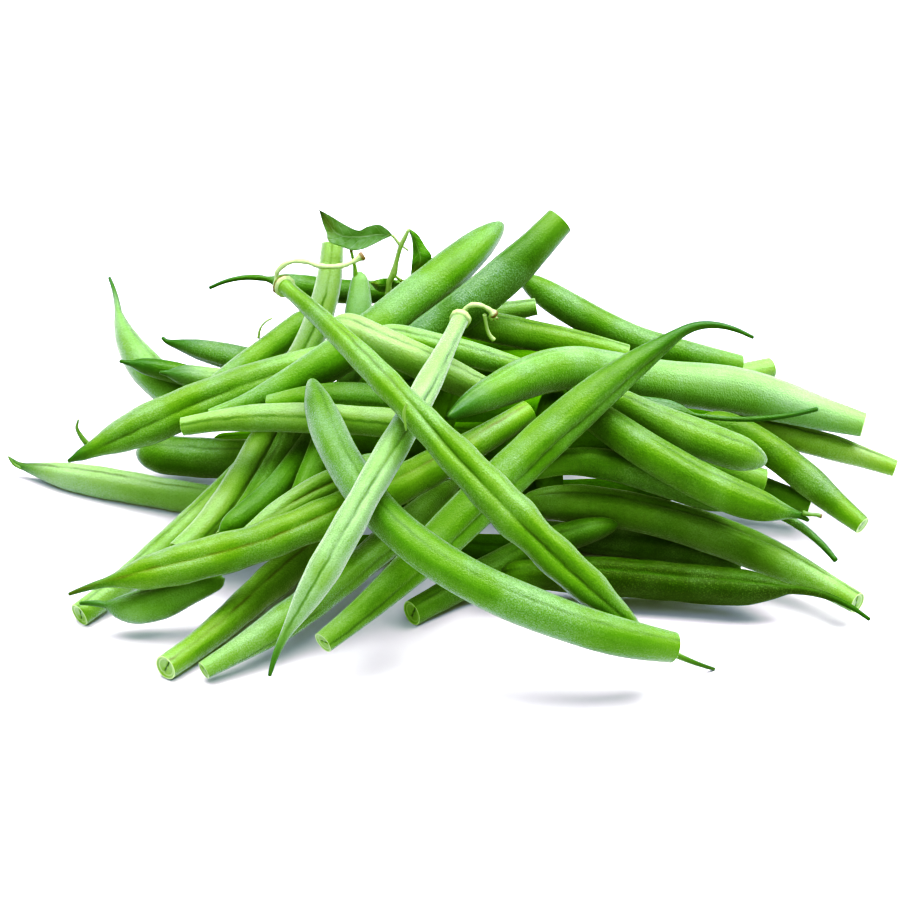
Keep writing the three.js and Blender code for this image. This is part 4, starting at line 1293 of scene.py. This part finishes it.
def blade(upper, midrib, lower, depth, arch, dark):
    """A leaf from its two edges and midrib, given by where they are seen, in mm."""
    knots = np.arange(len(midrib), dtype=float)
    at = np.linspace(0, knots[-1], BLADE_STEPS)
    upper, midrib, lower = (through(knots, np.array(line, float), at) for line in (upper, midrib, lower))
    side = np.linspace(-1, 1, 2 * BLADE_HALF + 1)
    above, below = np.clip(side, 0, 1)[None, :, None], np.clip(-side, 0, 1)[None, :, None]
    flat = midrib[:, None] + (upper - midrib)[:, None] * above + (lower - midrib)[:, None] * below
    share = (at / knots[-1])[:, None]
    ripple = RIPPLE_HEIGHT * np.sin(share * RIPPLE_PITCH + side * RIPPLE_LEAN) * np.abs(side)
    swing = ripple + SWAY_HEIGHT * np.sin(share * SWAY_PITCH)
    level = depth + arch * np.abs(side)[None, :] ** ARCH_CURVE + swing
    marks = np.stack(np.broadcast_arrays(share, side[None, :], dark), -1).reshape(-1, 3)
    front = seen(flat[..., 0], flat[..., 1], level - BLADE_THICK / 2).reshape(-1, 3)
    back = seen(flat[..., 0], flat[..., 1], level + BLADE_THICK / 2).reshape(-1, 3)
    faces = blade_faces(len(side))
    growth, spread = midrib[-1] - midrib[0], (upper - lower).sum(0)
    if growth[0] * spread[1] < growth[1] * spread[0]:
        faces = [face[::-1] for face in faces]
    return np.concatenate([front, back]), faces, np.concatenate([marks, marks]), 1


print("corners of a leaf:", 2 * BLADE_STEPS * (2 * BLADE_HALF + 1))

# %% [markdown]
# ## The finish of leaves
# Seen from below a bean leaf is matt and pale, with a light midrib and thin veins that run out from
# it to the edge; from above it is dark. The veins could be modelled as ridges, but they are thinner
# than a face. The finish draws them as a wave of the two numbers kept on the blade, how far along
# and how far out, which also slants them towards the tip.

# %% The finish of leaves
LEAF_PALE = (0.19, 0.34, 0.12, 1)
LEAF_DARK = (0.055, 0.165, 0.004, 1)
LEAF_VEIN = (0.30, 0.44, 0.20, 1)
LEAF_EDGE = (0.10, 0.12, 0.01, 1)
LEAF_MOTTLE, LEAF_FINE = (0.6, 3, 0.6), (3.0, 2, 0.6)
DARK_PATCHES, PALE_SPOTS = (0.35, 0.7, 0.0, 0.5), (0.5, 0.75, 0.0, 0.3)
VEIN_PITCH, VEIN_SLANT, VEIN_EDGES, VEIN_SHARE = 60.0, 9.0, (0.86, 1.0), 0.35
RIB_EDGES, RIB_SHARE = (0.03, 0.13, 1.0, 0.0), 0.75
VEINS_BY_SIDE = (0.0, 1.0, 1.0, 0.35)
YELLOW_FROM, YELLOW_OUT = (0.55, 0.8), (0.2, 0.9, 0.6, 0.2)
LEAF_ROUGHNESS, LEAF_RELIEF = (0.3, 0.7, 0.45, 0.6), (0.6, 0.0004)
LEAF_SHEEN = 0.1


def leaf_finish():
    """Leaves: a matt blade with a pale midrib, thin side veins and a slightly yellow tip."""
    recipe = Recipe("leaf_blade")
    _, (along_leaf, side, dark) = recipe.kept("mark")
    place = recipe.in_mm()
    mottle = recipe.noise(place, *LEAF_MOTTLE)
    fine = recipe.noise(place, *LEAF_FINE)
    colour = recipe.mix(dark, LEAF_PALE, LEAF_DARK)
    colour = recipe.mix(recipe.between(mottle, *DARK_PATCHES), colour, LEAF_DARK)
    colour = recipe.mix(recipe.between(fine, *PALE_SPOTS), colour, LEAF_PALE)
    out = recipe.math("ABSOLUTE", side)
    wave = recipe.math("SUBTRACT", recipe.times(along_leaf, VEIN_PITCH), recipe.times(out, VEIN_SLANT))
    vein = recipe.times(recipe.between(recipe.math("SINE", wave), *VEIN_EDGES), VEIN_SHARE)
    rib = recipe.times(recipe.between(out, *RIB_EDGES), RIB_SHARE)
    drawn = recipe.math("MAXIMUM", vein, rib)
    colour = recipe.mix(recipe.times(drawn, recipe.between(dark, *VEINS_BY_SIDE)), colour, LEAF_VEIN)
    yellow = recipe.times(recipe.between(along_leaf, *YELLOW_FROM), recipe.between(out, *YELLOW_OUT))
    colour = recipe.mix(yellow, colour, LEAF_EDGE)
    relief = recipe.raised(recipe.math("SUBTRACT", mottle, drawn), *LEAF_RELIEF)
    recipe.finish(Base_Color=colour, Roughness=recipe.between(fine, *LEAF_ROUGHNESS))
    return recipe.finish(Normal=relief, Specular_IOR_Level=DULL_GLOSS, Sheen_Weight=LEAF_SHEEN)


LEAF_BLADE = leaf_finish()
print("finish of leaves:", LEAF_BLADE.name)

# %% [markdown]
# ## The leafy sprig
# A sprig of the plant lies at the back: a stem that forks, a large leaf seen from below with a
# pale midrib, a darker one behind it and a small one at the foot. It could be grown by a script,
# but one sprig is placed sooner by listing its points. Its points are places across and up from the
# aim of the camera, in mm, with as few of them as each outline needs.

# %% The outlines of three leaves
SPRIG_DEPTH = 35.8
LARGE_UPPER = [(-14.5, 53.9), (-15.6, 55.1), (-17.8, 56.4), (-20.6, 55.9), (-22.8, 54.9), (-25.3, 55.9),
               (-27.8, 57.3), (-29.6, 58.4), (-31.2, 59.3), (-32.75, 60.1)]
LARGE_MIDRIB = [(-14.5, 53.7), (-16.25, 53.8), (-18.75, 53.8), (-21.5, 53.5), (-24.0, 53.4), (-26.5, 53.5),
                (-28.8, 54.6), (-30.2, 56.4), (-31.5, 58.3), (-32.75, 60.0)]
LARGE_LOWER = [(-14.5, 53.5), (-16.6, 52.6), (-19.2, 51.3), (-21.8, 50.2), (-24.5, 49.9), (-27.3, 50.9),
               (-30.3, 52.1), (-30.9, 54.2), (-31.8, 56.6), (-32.75, 59.9)]
DARK_RIGHT = [(-10.1, 55.4), (-8.0, 53.8), (-6.2, 51.0), (-4.6, 48.4), (-5.6, 45.8), (-9.6, 43.3)]
DARK_MIDRIB = [(-10.25, 55.3), (-9.0, 52.8), (-7.9, 50.2), (-7.4, 47.8), (-8.2, 45.4), (-9.8, 43.4)]
DARK_LEFT = [(-10.4, 55.1), (-9.6, 52.7), (-9.3, 49.8), (-9.5, 47.2), (-9.7, 45.0), (-10.0, 43.4)]
FOOT_UPPER = [(-12.6, 42.0), (-14.3, 42.7), (-16.4, 43.0), (-18.3, 42.6), (-19.9, 42.1)]
FOOT_MIDRIB = [(-12.6, 41.8), (-14.5, 41.4), (-16.5, 41.2), (-18.3, 41.3), (-19.9, 41.9)]
FOOT_LOWER = [(-12.7, 41.5), (-14.6, 40.0), (-16.6, 39.5), (-18.3, 39.9), (-19.9, 41.7)]
large_length = distances(np.array(LARGE_MIDRIB))[-1]
print("the large leaf is", round(large_length, 1), "mm long")

# %% The sprig
STEM = [(-15.9, 36), (-15.4, 40), (-15.1, 42.2), (-14.2, 44.0), (-13.3, 47.5), (-12.3, 51),
        (-11.1, 53.5), (-10.3, 55.2)]
STEM_GIRTHS = [0.85, 0.8, 0.75, 0.95, 0.6, 0.6, 0.62, 0.4]
STEM_STEPS = 40
SIDE_STEM = [(-12.4, 51.2), (-13.4, 52.4), (-14.5, 53.6), (-15.6, 53.8)]
UPPER_STUB = [(-12.4, 51.4), (-11.4, 50.6), (-10.4, 49.9)]
LOWER_STUB = [(-14.3, 43.9), (-13.2, 43.1), (-12.1, 42.3)]
HOLLOW_ARCH, RAISED_ARCH = -1.1, 0.8

sprig_parts = [
    twig(seen_path(STEM, SPRIG_DEPTH), STEM_GIRTHS, 0.55, count=STEM_STEPS),
    twig(seen_path(SIDE_STEM, SPRIG_DEPTH), [0.5, 0.38, 0.4, 0.3], 0.35),
    twig(seen_path(UPPER_STUB, SPRIG_DEPTH), [0.36, 0.28, 0.3], 0.3, 0.8),
    twig(seen_path(LOWER_STUB, SPRIG_DEPTH), [0.5, 0.36, 0.45], 0.9, 1.0),
    blade(LARGE_UPPER, LARGE_MIDRIB, LARGE_LOWER, SPRIG_DEPTH, HOLLOW_ARCH, 0.0),
    blade(DARK_RIGHT, DARK_MIDRIB, DARK_LEFT, SPRIG_DEPTH, RAISED_ARCH, 1.0),
    blade(FOOT_UPPER, FOOT_MIDRIB, FOOT_LOWER, SPRIG_DEPTH, RAISED_ARCH, 1.0),
]
sprig = joined("leafy_sprig_dressed", sprig_parts, [STALK_SKIN, LEAF_BLADE])
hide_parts("leafy_sprig")
print("sprig corners:", len(sprig.data.vertices))

# %% [markdown]
# The dressed heap has to stay in the box of its solids.
